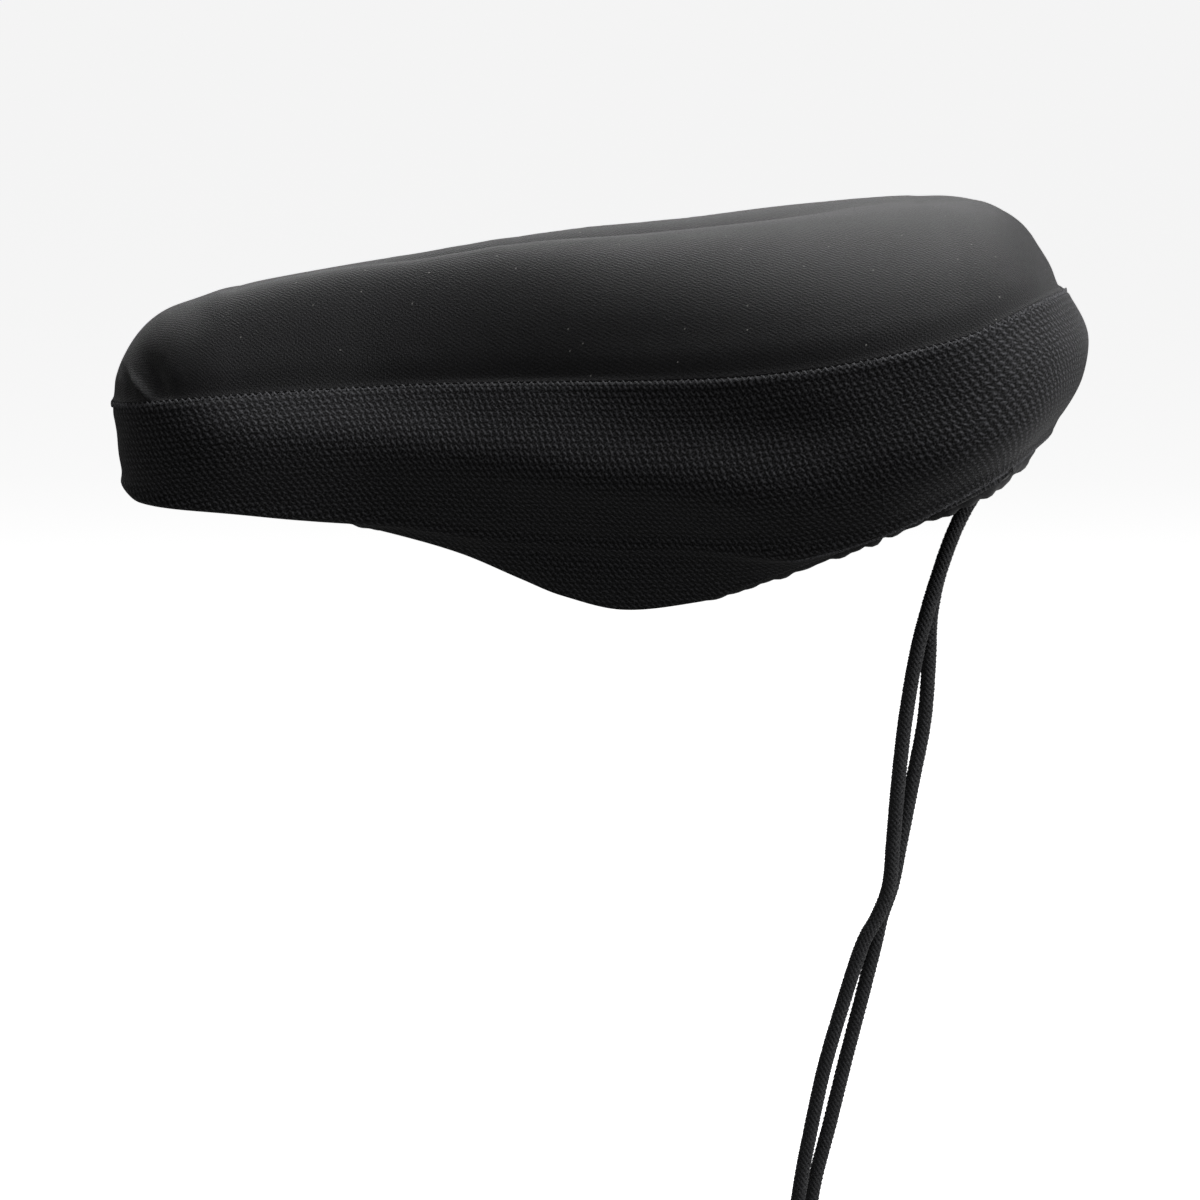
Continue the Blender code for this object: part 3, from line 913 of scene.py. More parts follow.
@dataclass
class Swell:
    """How far a blown pad lifts the cloth over it, from place to place."""

    tree: KDTree
    lifts: Array
    neighbours: int = 6
    blur: float = 0.001

    def lift_at(self, points: Array) -> Array:
        """Read the lift at points, from their nearest simulated points.

        Args:
            points: The cloth's points, with x, y, z on the last axis.

        Returns:
            One lift for each.
        """
        lifts = []
        for point in points.reshape(-1, 3):
            near = self.tree.find_n(point, self.neighbours)
            shares = [1.0 / (distance + self.blur) ** 2 for _, _, distance in near]
            lift = sum(share * self.lifts[at] for share, (_, at, _) in zip(shares, near))
            lifts.append(lift / sum(shares))
        return np.array(lifts).reshape(points.shape[:-1])


@dataclass
class CrownPanel:
    """The padded top: a stretch panel over foam, with a relief channel and a pucker at the nose."""

    shape: WornShape
    flat_rows: int = 16
    dome_rows: int = 50
    turned_shares: tuple[float, ...] = (0.35, 0.7, 1.0)
    turned_lengths: tuple[float, ...] = (0.0018, 0.0035, 0.005)
    cloth_mesh: float = 0.005
    cloth_frames: int = 20
    cloth_mass: float = 0.15
    pressure: float = 4.0
    most_swell: float = 0.0003
    seam_dip: float = 0.0005
    seam_dip_at: float = 0.0022
    seam_dip_reach: float = 0.0035
    unevenness: float = 0.00022
    wavelength: float = 0.045
    seed: int = 11
    dents: tuple[Dent, ...] = (
        Dent(-0.1288, -0.0168, 0.0046, 0.0010, -0.0024, slant=-47.0, side=Side.NEAR),
        Dent(-0.1250, -0.0136, 0.0072, 0.0036, 0.0022, slant=-58.0, side=Side.NEAR),
        Dent(-0.1335, -0.0165, 0.0040, 0.0016, 0.0007, slant=-60.0, side=Side.NEAR),
        Dent(-0.1290, -0.0150, 0.0046, 0.0010, -0.0009, slant=-54.0, side=Side.FAR),
        Dent(-0.1225, -0.0100, 0.0075, 0.0036, 0.0009, slant=-60.0, side=Side.FAR),
        Dent(-0.1150, 0.0075, 0.0100, 0.0100, 0.0019, slant=20.0),
        Dent(0.0050, 0.0000, 0.0300, 0.0060, 0.0004, slant=6.0),
        Dent(-0.0220, -0.0100, 0.0280, 0.0080, 0.0009, slant=4.0),
    )

    def half(self) -> Cloth:
        """Lay out the near half's outer surface, spine to seam and into the seam.

        Returns:
            The half, still without dents.
        """
        shape = self.shape
        seam, inward, _ = shape.seam_plan()
        spine = shape.spine(seam)
        x = seam[:, 0]
        seam_z = follow(shape.seam, x)[:, None]
        rise = follow(shape.crest, spine[:, 0])[:, None] - seam_z
        flat = follow(shape.flat_share, x)[:, None]
        power = follow(shape.dome_power, x)[:, None]
        sharpness = follow(shape.dome_sharpness, x)[:, None]
        inner = flat * np.linspace(0.0, 1.0, self.flat_rows, endpoint=False)
        reach = np.sin(np.linspace(0.0, math.pi / 2.0, self.dome_rows))[None]
        share = np.concatenate((inner, flat + (1.0 - flat) * reach), axis=1)
        dome = np.clip(1.0 - reach**sharpness, 0.0, 1.0) ** power
        height = np.concatenate((np.ones_like(inner), dome), axis=1)
        points = spine[:, None] + (seam - spine)[:, None] * share[..., None]
        points[..., 2] = seam_z + shape.layer_gap / 2.0 + rise * height
        points[..., 2] -= shape.groove(points[..., 0], points[..., 1]) * height
        threads, heading = fan_threads(spine, seam, points)
        shares = np.array(self.turned_shares)[None, :, None]
        turned = seam[:, None] + inward[:, None] * shares * shape.seam_allowance
        turned[..., 2] = seam_z + shape.layer_gap / 2.0
        lengths = np.array(self.turned_lengths)[None, :, None]
        more = threads[:, -1:] + heading[:, None] * lengths
        return Cloth(np.concatenate((points, turned), 1), np.concatenate((threads, more), 1))

    def blow_up(self) -> Swell | None:
        """Blow the pad up under its panel as cloth, held along the seam and underneath.
        """
        piece = add_object("blown_pad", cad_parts["foam_pad"].data.copy())
        remesh = piece.modifiers.new("Even", "REMESH")
        remesh.mode = "VOXEL"
        remesh.voxel_size = self.cloth_mesh
        bake_modifiers(piece)
        start = vertex_places(piece.data)
        upward = vertex_places(piece.data, "normal")[:, 2]
        above = start[:, 2] - follow(self.shape.seam, start[:, 0])
        free = smooth_step(0.002, 0.008, above) * smooth_step(0.0, 0.3, upward)
        held = piece.vertex_groups.new(name="held")
        for number in range(len(start)):
            held.add([number], 1.0 - float(free[number]), "REPLACE")
        cloth = piece.modifiers.new("Cloth", "CLOTH").settings
        cloth.quality = 5
        cloth.mass = self.cloth_mass
        cloth.use_pressure = True
        cloth.uniform_pressure_force = self.pressure
        cloth.effector_weights.gravity = 0.0
        cloth.vertex_group_mass = "held"
        for frame in range(1, self.cloth_frames + 1):
            bpy.context.scene.frame_set(frame)
        graph = bpy.context.evaluated_depsgraph_get()
        moved = vertex_places(piece.evaluated_get(graph).to_mesh())
        bpy.context.scene.frame_set(1)
        swell = np.linalg.norm(moved - start, axis=1) * free
        usual = swell[free > 0.9].mean()
        LOG.info("the pad swells by %.2f mm on average", usual * 1000.0)
        tree = KDTree(len(start))
        for number, place in enumerate(start):
            tree.insert(place, number)
        tree.balance()
        bpy.data.objects.remove(piece)
        return Swell(tree, np.clip(swell - usual * free, -self.most_swell, self.most_swell))

    def shaped(self, half: Cloth, normals: Array, swell: Swell | None) -> Cloth:
        """Give a half its hollows, its dip along the seam and slow unevenness.

        Args:
            half: The half as it is laid out.
            normals: Its outward normals.
            swell: What the blown pad adds, if there is one.

        Returns:
            The half in its final form.
        """
        points = half.points
        rows = self.flat_rows + self.dome_rows
        to_seam = np.linalg.norm(points - points[:, rows - 1 : rows], axis=-1)
        open_cloth = smooth_step(0.0, 0.006, to_seam)
        dip = np.exp(-(((to_seam - self.seam_dip_at) / self.seam_dip_reach) ** 2))
        move = -self.seam_dip * dip * smooth_step(0.0, 0.0015, to_seam)
        for dent in self.dents:
            move = move + dent.apply(points) * smooth_step(0.0, 0.0012, to_seam)
        uneven = unevenness(points, self.wavelength, self.seed)
        move = move + self.unevenness * open_cloth * uneven
        if swell is not None:
            move = move + open_cloth * swell.lift_at(points)
        move[:, rows:] = 0.0
        return half.moved(normals, move)

    def build(self) -> Object:
        """Sew the crown.

        Returns:
            The dressed piece.
        """
        near = self.half()
        normals = near.normals()
        swell = self.blow_up()
        halves = (
            self.shaped(near, normals, swell),
            self.shaped(near.mirrored(), normals * (1.0, -1.0, 1.0), swell),
        )
        piece = cloth_object("crown_panel", *halves, self.shape.panel_thickness)
        return dress(piece, JERSEY.build(), "jersey", "top_panel")


# ---- skirt ----


@dataclass
class KnitSkirt:
    """The mesh skirt: out from the seam, down the side and in under the edge."""

    shape: WornShape
    row_steps: int = 8
    loop_row: int = 5
    hem_row: int = 44
    hem_loops_from: float = 0.050
    loop_stand: float = 0.00012
    wall_rows: tuple[Point, ...] = (
        (0.10, 0.50, 0.0), (0.34, 1.0, 0.0), (0.62, 0.86, 0.10), (0.86, 0.40, 0.55),
    )
    turn_row: tuple[float, float] = (0.40, 0.45)
    turned_shares: tuple[float, ...] = (1.0, 0.6, 0.25)
    turned_lengths: tuple[float, ...] = (-0.005, -0.003, -0.00125)
    lip: float = 0.0006
    lip_at: float = 0.0016
    lip_reach: float = 0.0014
    crease: float = 0.0012
    crease_reach: float = 0.0026
    unevenness: float = 0.00035
    wavelength: float = 0.038
    seed: int = 23
    dents: tuple[Dent, ...] = (
        Dent(0.0400, -0.0215, 0.0340, 0.0085, 0.0036, slant=2.0),
        Dent(0.0230, -0.0370, 0.0460, 0.0085, -0.0021, slant=-2.0),
        Dent(0.0900, -0.0260, 0.0210, 0.0095, -0.0034, slant=16.0),
        Dent(-0.0450, -0.0315, 0.0660, 0.0082, -0.0034, slant=-5.0),
        Dent(-0.0640, -0.0430, 0.0500, 0.0060, 0.0006, slant=0.0),
        Dent(0.0750, -0.0130, 0.0260, 0.0070, 0.0010, slant=16.0),
        Dent(0.0400, -0.0520, 0.0320, 0.0030, 0.0006, slant=6.0),
    )

    def half(self) -> Cloth:
        """Lay out the near half's outer surface, from inside the seam to the hem.

        Returns:
            The half, still without dents.
        """
        shape = self.shape
        seam, inward, run = shape.seam_plan()
        x = seam[:, 0]
        bulge_in = follow(shape.bulge_inset, x)
        edge_in = follow(shape.edge_inset, x)
        bottom_in = follow(shape.bottom_inset, x)
        seam_z = follow(shape.seam, x) - shape.layer_gap / 2.0
        edge_z = follow(shape.edge, (seam + inward * edge_in[:, None])[:, 0])
        bottom_z = follow(shape.bottom, (seam + inward * bottom_in[:, None])[:, 0])
        wall = seam_z - edge_z
        rows = [(0.0 * x, seam_z)]
        for down, bulge, edge in self.wall_rows:
            rows.append((bulge * bulge_in + edge * edge_in, seam_z - down * wall))
        rows.append((edge_in, edge_z))
        turn_in, turn_down = self.turn_row
        turn_z = edge_z + turn_down * (bottom_z - edge_z)
        rows.append((edge_in + turn_in * (bottom_in - edge_in), turn_z))
        rows.append((bottom_in, bottom_z))
        fine = catmull_rom(np.array(rows).transpose(0, 2, 1), self.row_steps)
        points = seam[:, None] + inward[:, None] * fine[..., 0].T[..., None]
        points[..., 2] = fine[..., 1].T
        shares = np.array(self.turned_shares)[None, :, None]
        turned = seam[:, None] + inward[:, None] * shares * shape.seam_allowance
        turned[..., 2] = seam_z[:, None]
        lengths = np.array(self.turned_lengths)[None] + 0.0 * turned[..., 0]
        v = np.concatenate((lengths, down_lengths(points)), axis=1)
        threads = np.stack((np.broadcast_to(run[:, None], v.shape), v), axis=-1)
        return Cloth(np.concatenate((turned, points), axis=1), threads)

    def shaped(self, half: Cloth, normals: Array) -> Cloth:
        """Give a half its lip at the seam, its crease, its swells and hollows and unevenness.

        Args:
            half: The half as it is laid out.
            normals: Its outward normals.

        Returns:
            The half in its final form.
        """
        points = half.points
        down = half.threads[..., 1]
        free = smooth_step(0.0, 0.007, down) * smooth_step(0.0, 0.006, down[:, -1:] - down)
        lip = self.lip * smooth_step(-0.139, -0.122, points[..., 0])
        move = lip * np.exp(-(((down - self.lip_at) / self.lip_reach) ** 2)) * (down >= 0.0)
        turn = len(self.turned_shares) + (len(self.wall_rows) + 1) * self.row_steps
        from_turn = (down - down[:, turn : turn + 1]) / self.crease_reach
        move = move + self.crease * np.exp(-(from_turn**2))
        for dent in self.dents:
            move = move + dent.apply(points) * smooth_step(0.0, 0.004, down)
        uneven = unevenness(points, self.wavelength, self.seed)
        move = (move + self.unevenness * free * uneven) * (down >= 0.0)
        return half.moved(normals, move)

    def edge(self, near: Cloth, far: Cloth, row: int) -> Array:
        """Follow one row of the skirt right round, a hair proud of the cloth.

        Args:
            near: The near half.
            far: The far half.
            row: The row's number.

        Returns:
            The row's points.
        """
        stand = near.normals()[:, row] * self.loop_stand
        inner = near.points[:, row] + stand
        outer = far.points[::-1, row] + stand[::-1] * (1.0, -1.0, 1.0)
        return np.concatenate((inner, outer[1:-1] if row != self.hem_row else outer))

    def build(self) -> Object:
        """Sew the skirt and its two rows of loops.

        Returns:
            The dressed skirt.
        """
        near = self.half()
        normals = near.normals()
        far = Cloth(near.points * (1.0, -1.0, 1.0), near.threads * (-1.0, 1.0))
        near, far = self.shaped(near, normals), self.shaped(far, normals * (1.0, -1.0, 1.0))
        piece = cloth_object("knit_skirt", near, far, self.shape.skirt_thickness)
        LoopRow("seam_loops").build(self.edge(near, far, self.loop_row), LOOP_YARN_PAINTED_HIGHLIGHT, "knit")
        hem_edge = self.edge(near, far, self.hem_row)
        hem_edge = hem_edge[hem_edge[:, 0] > self.hem_loops_from]
        hem_loops = LoopRow("hem_loops", 0.0009, 0.0020, 0.0007, 12.0, -8.0)
        hem_loops.build(hem_edge, LOOP_YARN_PAINTED_HIGHLIGHT, "knit")
        return dress(piece, KNIT.build(), "knit", "side_skirt")


# ---- hem ----


@dataclass
class HemCasing:
    """The tape tunnel along the hem, gathered on its drawstring, open at the rear centre."""

    shape: WornShape
    cord_diameter: float = 0.0046
    cord_clearance: float = 0.0003
    wall: float = 0.0009
    height: float = 0.0086
    mouth_y: float = 0.0085
    spacing: float = 0.0009
    calming: int = 40
    sides: int = 22
    gather_length: float = 0.0042
    lobe_length: float = 0.017
    weld_gap: float = 0.00002
    pleat: Profile = ((-0.139, 0.00018), (0.060, 0.00022), (0.085, 0.00060), (0.129, 0.00060))
    lift: Profile = (
        (-0.139, 0.0046), (-0.112, 0.0044), (-0.096, 0.0037), (-0.073, 0.0044), (0.010, 0.0052),
        (0.065, 0.0040), (0.086, 0.0020), (0.104, -0.0024), (0.129, -0.0029),
    )

    def path(self) -> Array:
        """Lay out the cord's line through the hem.

        Returns:
            Its points, from mouth to mouth round the nose.
        """
        shape = self.shape
        seam, inward, _ = shape.seam_plan()
        reach = self.cord_diameter / 2.0 + self.cord_clearance + self.wall + shape.layer_gap
        reach += shape.skirt_thickness
        edge = seam + inward * follow(shape.bottom_inset, seam[:, 0])[:, None]
        half = edge + inward * reach
        half[:, 2] = follow(shape.bottom, edge[:, 0]) + follow(self.lift, edge[:, 0])
        half = half[(half[:, 0] < 0.0) | (half[:, 1] < -self.mouth_y)]
        ahead = half[-1] - half[-6]
        end = half[-1] + ahead * ((-self.mouth_y - half[-1, 1]) / ahead[1])
        half = np.concatenate((half, end[None]))
        whole = space_evenly(np.concatenate((half[:0:-1] * (1.0, -1.0, 1.0), half)), self.spacing)
        for _ in range(self.calming):
            whole[1:-1] = (whole[:-2] + 2.0 * whole[1:-1] + whole[2:]) / 4.0
        return space_evenly(whole, self.spacing)

    def build(self) -> Object:
        """Sew the casing with its gathers.

        Returns:
            The dressed piece.
        """
        path = self.path()
        run = lengths_along(path)
        along = np.gradient(path, axis=0)
        along /= np.linalg.norm(along, axis=1, keepdims=True)
        side = np.cross(along, (0.0, 0.0, 1.0))
        side /= np.linalg.norm(side, axis=1, keepdims=True)
        up = np.cross(side, along)
        angle = np.linspace(0.0, 2.0 * math.pi, self.sides + 1)
        width = self.cord_diameter + 2.0 * (self.cord_clearance + self.wall)
        line = np.stack((run, np.zeros_like(run), np.zeros_like(run)), axis=1)
        gather = unevenness(line, self.gather_length, 5, waves=10)
        slow = unevenness(line, self.lobe_length, 8, waves=8)
        low = 0.5 - 0.5 * np.sin(angle)
        ridge = gather[:, None] * (0.45 + 0.55 * low)[None] + 0.6 * slow[:, None] * low[None]
        ridge = ridge * follow(self.pleat, path[:, 0])[:, None]
        across = (width / 2.0 + 0.6 * ridge) * np.cos(angle)[None]
        tall = (self.height / 2.0 + ridge) * np.sin(angle)[None]
        points = path[:, None] + side[:, None] * across[..., None] + up[:, None] * tall[..., None]
        around = angle * (width + self.height) / 4.0
        threads = np.stack(np.broadcast_arrays(run[:, None], around[None]), axis=-1)
        piece = thick_sheet(
            "hem_tunnel",
            points.reshape(-1, 3),
            threads.reshape(-1, 2),
            grid_faces(*points.shape[:2]),
            self.wall,
            self.weld_gap,
        )
        return dress(piece, TAPE.build(), "tape", "hem_casing")


# ---- stitches ----


def open_tree(name: str, given: str, sizes: dict[str, float], made: str) -> tuple[NodeTree, Any]:
    """Start a geometry tree with its named inputs and its output.

    Args:
        name: The tree's name.
        given: The name of the geometry that it takes.
        sizes: The names and usual values of its other inputs.
        made: The name of the geometry that it makes.

    Returns:
        The tree, and the sockets that hold what it is given.
    """
    tree = bpy.data.node_groups.new(name, "GeometryNodeTree")
    face = tree.interface
    face.new_socket(given, in_out="INPUT", socket_type="NodeSocketGeometry")
    for size, value in sizes.items():
        kind = "NodeSocketInt" if isinstance(value, int) else "NodeSocketFloat"
        face.new_socket(size, in_out="INPUT", socket_type=kind).default_value = value
    face.new_socket(made, in_out="OUTPUT", socket_type="NodeSocketGeometry")
    return tree, add_node(tree, "NodeGroupInput").outputs


def close_tree(tree: NodeTree, geometry: Any, made: str, material: Material) -> NodeTree:
    """End a geometry tree: what it makes is real, smooth and of one material.

    Args:
        tree: The tree.
        geometry: The socket with what it makes.
        made: The name of its output.
        material: What that is made of.

    Returns:
        The same tree.
    """
    real = add_node(tree, "GeometryNodeRealizeInstances", {"Geometry": geometry})
    smooth = add_node(tree, "GeometryNodeSetShadeSmooth", {"Geometry": real})
    inputs = {"Geometry": smooth, "Material": material}
    painted = add_node(tree, "GeometryNodeSetMaterial", inputs)
    add_node(tree, "NodeGroupOutput", {made: painted})
    return tree


@dataclass
class LoopRow:
    """A row of yarn loops that lean one way and the other along an edge, by a node tree."""

    name: str
    pitch: float = 0.00100
    length: float = 0.0024
    width: float = 0.00070
    lean: float = 50.0
    back_lean: float = -44.0
    lean_spread: float = 0.22
    seed: int = 7

    def tree(self, material: Material) -> NodeTree:
        """Build the node tree: one small loop on every step of the edge.

        Args:
            material: The loops' yarn.

        Returns:
            The tree, with its sizes as named inputs.
        """
        sizes = {
            "Pitch": self.pitch,
            "Length": self.length / 2.0,
            "Width": self.width / 2.0,
            "Lean": math.radians(self.lean),
            "Back Lean": math.radians(self.back_lean),
        }
        tree, given = open_tree(self.name + "_tree", "Edge", sizes, "Loops")
        inputs = {"Curve": given["Edge"], "Length": given["Pitch"]}
        steps = add_node(tree, "GeometryNodeCurveToPoints", inputs, mode="LENGTH").outputs
        inputs = {0: steps["Tangent"], 1: (0.0, 0.0, 1.0)}
        axes = add_node(
            tree, "FunctionNodeAxesToRotation", inputs, primary_axis="X", secondary_axis="Z"
        )
        index = add_node(tree, "GeometryNodeInputIndex")
        odd = ("FLOORED_MODULO", index, 2.0)
        change = ("SUBTRACT", given["Back Lean"], given["Lean"])
        inputs = {2: -self.lean_spread, 3: self.lean_spread, "Seed": self.seed}
        uneven = add_node(tree, "FunctionNodeRandomValue", inputs, data_type="FLOAT").outputs[1]
        lean = formula(tree, total(("MULTIPLY_ADD", odd, change, given["Lean"]), uneven))
        tilt = add_node(tree, "ShaderNodeCombineXYZ", {"Y": lean})
        tilted = add_node(tree, "FunctionNodeEulerToRotation", {0: tilt})
        inputs = {0: axes, 1: tilted}
        turned = add_node(tree, "FunctionNodeRotateRotation", inputs, rotation_space="LOCAL")
        inputs = {"Segments": 8, "Rings": 6, "Radius": 1.0}
        ball = add_node(tree, "GeometryNodeMeshUVSphere", inputs)
        inputs = {"X": given["Length"], "Y": given["Width"], "Z": given["Width"]}
        size = add_node(tree, "ShaderNodeCombineXYZ", inputs)
        inputs = {"Points": steps["Points"], "Instance": ball, "Rotation": turned, "Scale": size}
        loops = add_node(tree, "GeometryNodeInstanceOnPoints", inputs)
        return close_tree(tree, loops, "Loops", material)

    def build(self, edge: Array, finish: Grained, slot: str) -> Object:
        """Sew the row along an edge.

        Args:
            edge: The points of the edge.
            finish: What the loops are made of.
            slot: The record's material slot.

        Returns:
            The dressed loops.
        """
        material = finish.build()
        return dress(made_on_line(self.name, edge, self.tree(material)), material, slot)


# ---- cord ----


@dataclass
class BraidedCord:
    """A round braid of crossing strands along a route, made by a node tree."""

    diameter: float = 0.0046
    pairs: int = 8
    strand: float = 0.00054
    wave: float = 0.00022
    level: float = 0.0008
    step: float = 0.00042
    strand_sides: int = 5
    core_step: float = 0.003
    core_sides: int = 10

    def tree(self, material: Material) -> NodeTree:
        """Build the node tree: strands wound both ways, each rising and dipping at crossings.

        Args:
            material: The strands' material.

        Returns:
            The tree, with its sizes as named inputs.
        """
        sizes = {
            "Radius": self.diameter / 2.0 - self.strand - self.wave,
            "Strand Radius": self.strand,
            "Wave": self.wave,
            "Level": self.level,
            "Step": self.step,
            "Pairs": self.pairs,
        }
        tree, given = open_tree("round_braid", "Route", sizes, "Braid")
        fine, coarse = (
            add_node(
                tree,
                "GeometryNodeResampleCurve",
                {"Curve": given["Route"], "Length": step},
                mode="LENGTH",
            )
            for step in (given["Step"], self.core_step)
        )
        strands = formula(tree, ("MULTIPLY", given["Pairs"], 2.0))
        inputs = {"Geometry": fine, "Amount": strands}
        copies = add_node(tree, "GeometryNodeDuplicateElements", inputs, domain="SPLINE")
        index = copies.outputs["Duplicate Index"]
        way = formula(tree, ("MULTIPLY_ADD", ("MODULO", index, 2.0), -2.0, 1.0))
        place = ("DIVIDE", ("FLOOR", ("DIVIDE", index, 2.0)), given["Pairs"])
        run = add_node(tree, "GeometryNodeSplineParameter").outputs["Length"]
        half_turns = formula(tree, ("MULTIPLY", ("DIVIDE", run, given["Level"]), math.pi))
        wound = ("MULTIPLY", ("DIVIDE", half_turns, given["Pairs"]), way)
        angle = formula(tree, ("MULTIPLY_ADD", place, 2.0 * math.pi, wound))
        swing = ("MULTIPLY", ("MULTIPLY", ("COSINE", half_turns), given["Wave"]), way)
        out = formula(tree, ("ADD", given["Radius"], swing))
        normal = add_node(tree, "GeometryNodeInputNormal")
        inputs = {0: add_node(tree, "GeometryNodeInputTangent"), 1: normal}
        other = add_node(tree, "ShaderNodeVectorMath", inputs, operation="CROSS_PRODUCT")
        parts = {}
        for number, (axis, part) in enumerate(((normal, "COSINE"), (other, "SINE"))):
            inputs = {0: axis, "Scale": formula(tree, ("MULTIPLY", out, (part, angle)))}
            scaled = add_node(tree, "ShaderNodeVectorMath", inputs, operation="SCALE")
            parts[number] = scaled
        offset = add_node(tree, "ShaderNodeVectorMath", parts, operation="ADD")
        frozen = add_node(tree, "GeometryNodeCaptureAttribute", {"Geometry": copies})
        frozen.capture_items.new("VECTOR", "Offset")
        tree.links.new(offset.outputs[0], frozen.inputs["Offset"])
        inputs = {"Geometry": frozen, "Offset": frozen.outputs["Offset"]}
        moved = add_node(tree, "GeometryNodeSetPosition", inputs)
        joined = add_node(tree, "GeometryNodeJoinGeometry")
        for curve, sides, radius in (
            (moved, self.strand_sides, given["Strand Radius"]),
            (coarse, self.core_sides, given["Radius"]),
        ):
            inputs = {"Resolution": sides, "Radius": radius}
            ring = add_node(tree, "GeometryNodeCurvePrimitiveCircle", inputs, mode="RADIUS")
            inputs = {"Curve": curve, "Profile Curve": ring, "Fill Caps": True}
            swept = add_node(tree, "GeometryNodeCurveToMesh", inputs)
            tree.links.new(swept.outputs[0], joined.inputs[0])
        return close_tree(tree, joined, "Braid", material)


@dataclass
class Drawstring:
    """The cord in the hem and its two free ends, which hang from the casing's mouths."""

    casing: HemCasing
    exit_gap: float = 0.0004
    tail_steps: int = 6
    hidden_spacing: float = 0.004
    bend: tuple[Point, ...] = ((-0.0002, 0.0020, -0.0004), (-0.0018, 0.0041, -0.0030))
    right: tuple[Point, ...] = (
        (0.1130, -0.0029, -0.0393), (0.1077, -0.0026, -0.0475), (0.1020, -0.0026, -0.0579),
        (0.0973, -0.0028, -0.0709), (0.0934, -0.0031, -0.0840), (0.0904, -0.0034, -0.0970),
        (0.0877, -0.0036, -0.1145), (0.0859, -0.0035, -0.1321), (0.0846, -0.0031, -0.1497),
        (0.0836, -0.0026, -0.1629), (0.0805, -0.0026, -0.1718), (0.0759, -0.0028, -0.1807),
        (0.0703, -0.0033, -0.1985), (0.0653, -0.0037, -0.2164), (0.0616, -0.0036, -0.2343),
        (0.0584, -0.0033, -0.2524), (0.0560, -0.0031, -0.2740), (0.0553, -0.0032, -0.2960),
        (0.0560, -0.0036, -0.3180),
    )
    left: tuple[Point, ...] = (
        (0.1131, 0.0029, -0.0394), (0.1079, 0.0026, -0.0478), (0.1024, 0.0026, -0.0586),
        (0.0977, 0.0026, -0.0717), (0.0952, 0.0028, -0.0848), (0.0948, 0.0031, -0.0979),
        (0.0937, 0.0034, -0.1154), (0.0906, 0.0034, -0.1330), (0.0873, 0.0030, -0.1507),
        (0.0848, 0.0026, -0.1640), (0.0819, 0.0027, -0.1729), (0.0800, 0.0030, -0.1819),
        (0.0758, 0.0034, -0.1997), (0.0714, 0.0036, -0.2177), (0.0672, 0.0034, -0.2357),
        (0.0628, 0.0032, -0.2538), (0.0604, 0.0033, -0.2730), (0.0602, 0.0037, -0.2930),
        (0.0612, 0.0042, -0.3110),
    )

    def tail(self, mouth: Array, points: Sequence[Point]) -> Array:
        """Lay out a free end's route, from the casing's mouth down.

        Args:
            mouth: The middle of the mouth.
            points: Where the end hangs.

        Returns:
            The route's points.
        """
        inward = -math.copysign(1.0, mouth[1])
        start = mouth + (0.0, inward * self.exit_gap, 0.0)
        bend = [start + (x, inward * y, z) for x, y, z in self.bend]
        return catmull_rom(np.array([start, *bend, *points]), self.tail_steps)

    def build(self) -> list[Object]:
        """Thread the cord.

        Returns:
            Both dressed free ends and the run in the hem.
        """
        yarn = YARN.build()
        braider = BraidedCord()
        tree = braider.tree(yarn)
        inner = self.casing.path()
        pieces = []
        for name, node, mouth, points in (
            ("cord_end_right", "drawstring_tail_right", inner[-1], self.right),
            ("cord_end_left", "drawstring_tail_left", inner[0], self.left),
        ):
            route = self.tail(mouth, points)
            piece = made_on_line(name, route, tree)
            pieces.append(dress(piece, yarn, "cord", node))
        line = space_evenly(inner, self.hidden_spacing)
        piece = made_on_line("hem_cord", line, radius=braider.diameter / 2.0)
        pieces.append(dress(piece, yarn, "cord", "drawstring"))
        return pieces


# ---- inside ----


@dataclass
class GripLining:
    """The slip-resistant lining under the foam, with rubber dots on its underside."""

    shape: WornShape
    rows: int = 40
    flat_row: float = 0.30
    drop_power: float = 1.9
    lap_share: float = 0.5
    edge_gap: float = 0.0006

    def half(self, lift: float) -> Cloth:
        """Lay out the near half.

        Args:
            lift: How far it is raised.

        Returns:
            The half.
        """
        shape = self.shape
        seam, inward, _ = shape.seam_plan()
        spine = shape.spine(seam)
        lap = self.lap_share * shape.seam_allowance
        edge = seam + inward * (shape.panel_thickness + shape.layer_gap + lap)
        edge_z = follow(shape.seam, seam[:, 0]) + shape.panel_thickness + self.edge_gap
        centre_z = follow(shape.under, spine[:, 0])
        share = np.linspace(0.0, 1.0, self.rows)
        drop = np.clip((share - self.flat_row) / (1.0 - self.flat_row), 0.0, 1.0)
        drop = drop**self.drop_power
        points = spine[:, None] + (edge - spine)[:, None] * share[None, :, None]
        points[..., 2] = centre_z[:, None] + (edge_z - centre_z)[:, None] * drop[None] + lift
        return Cloth(points, fan_threads(spine, seam, points)[0])

    def build(self) -> Object:
        """Sew the lining and print its dots.

        Returns:
            The dressed lining.
        """
        near = self.half(self.shape.lining_thickness)
        piece = cloth_object("grip_lining", near, near.mirrored(), self.shape.lining_thickness)
        GripDots().build(piece)
        return dress(piece, GRIP.build(), "lining", "lining")


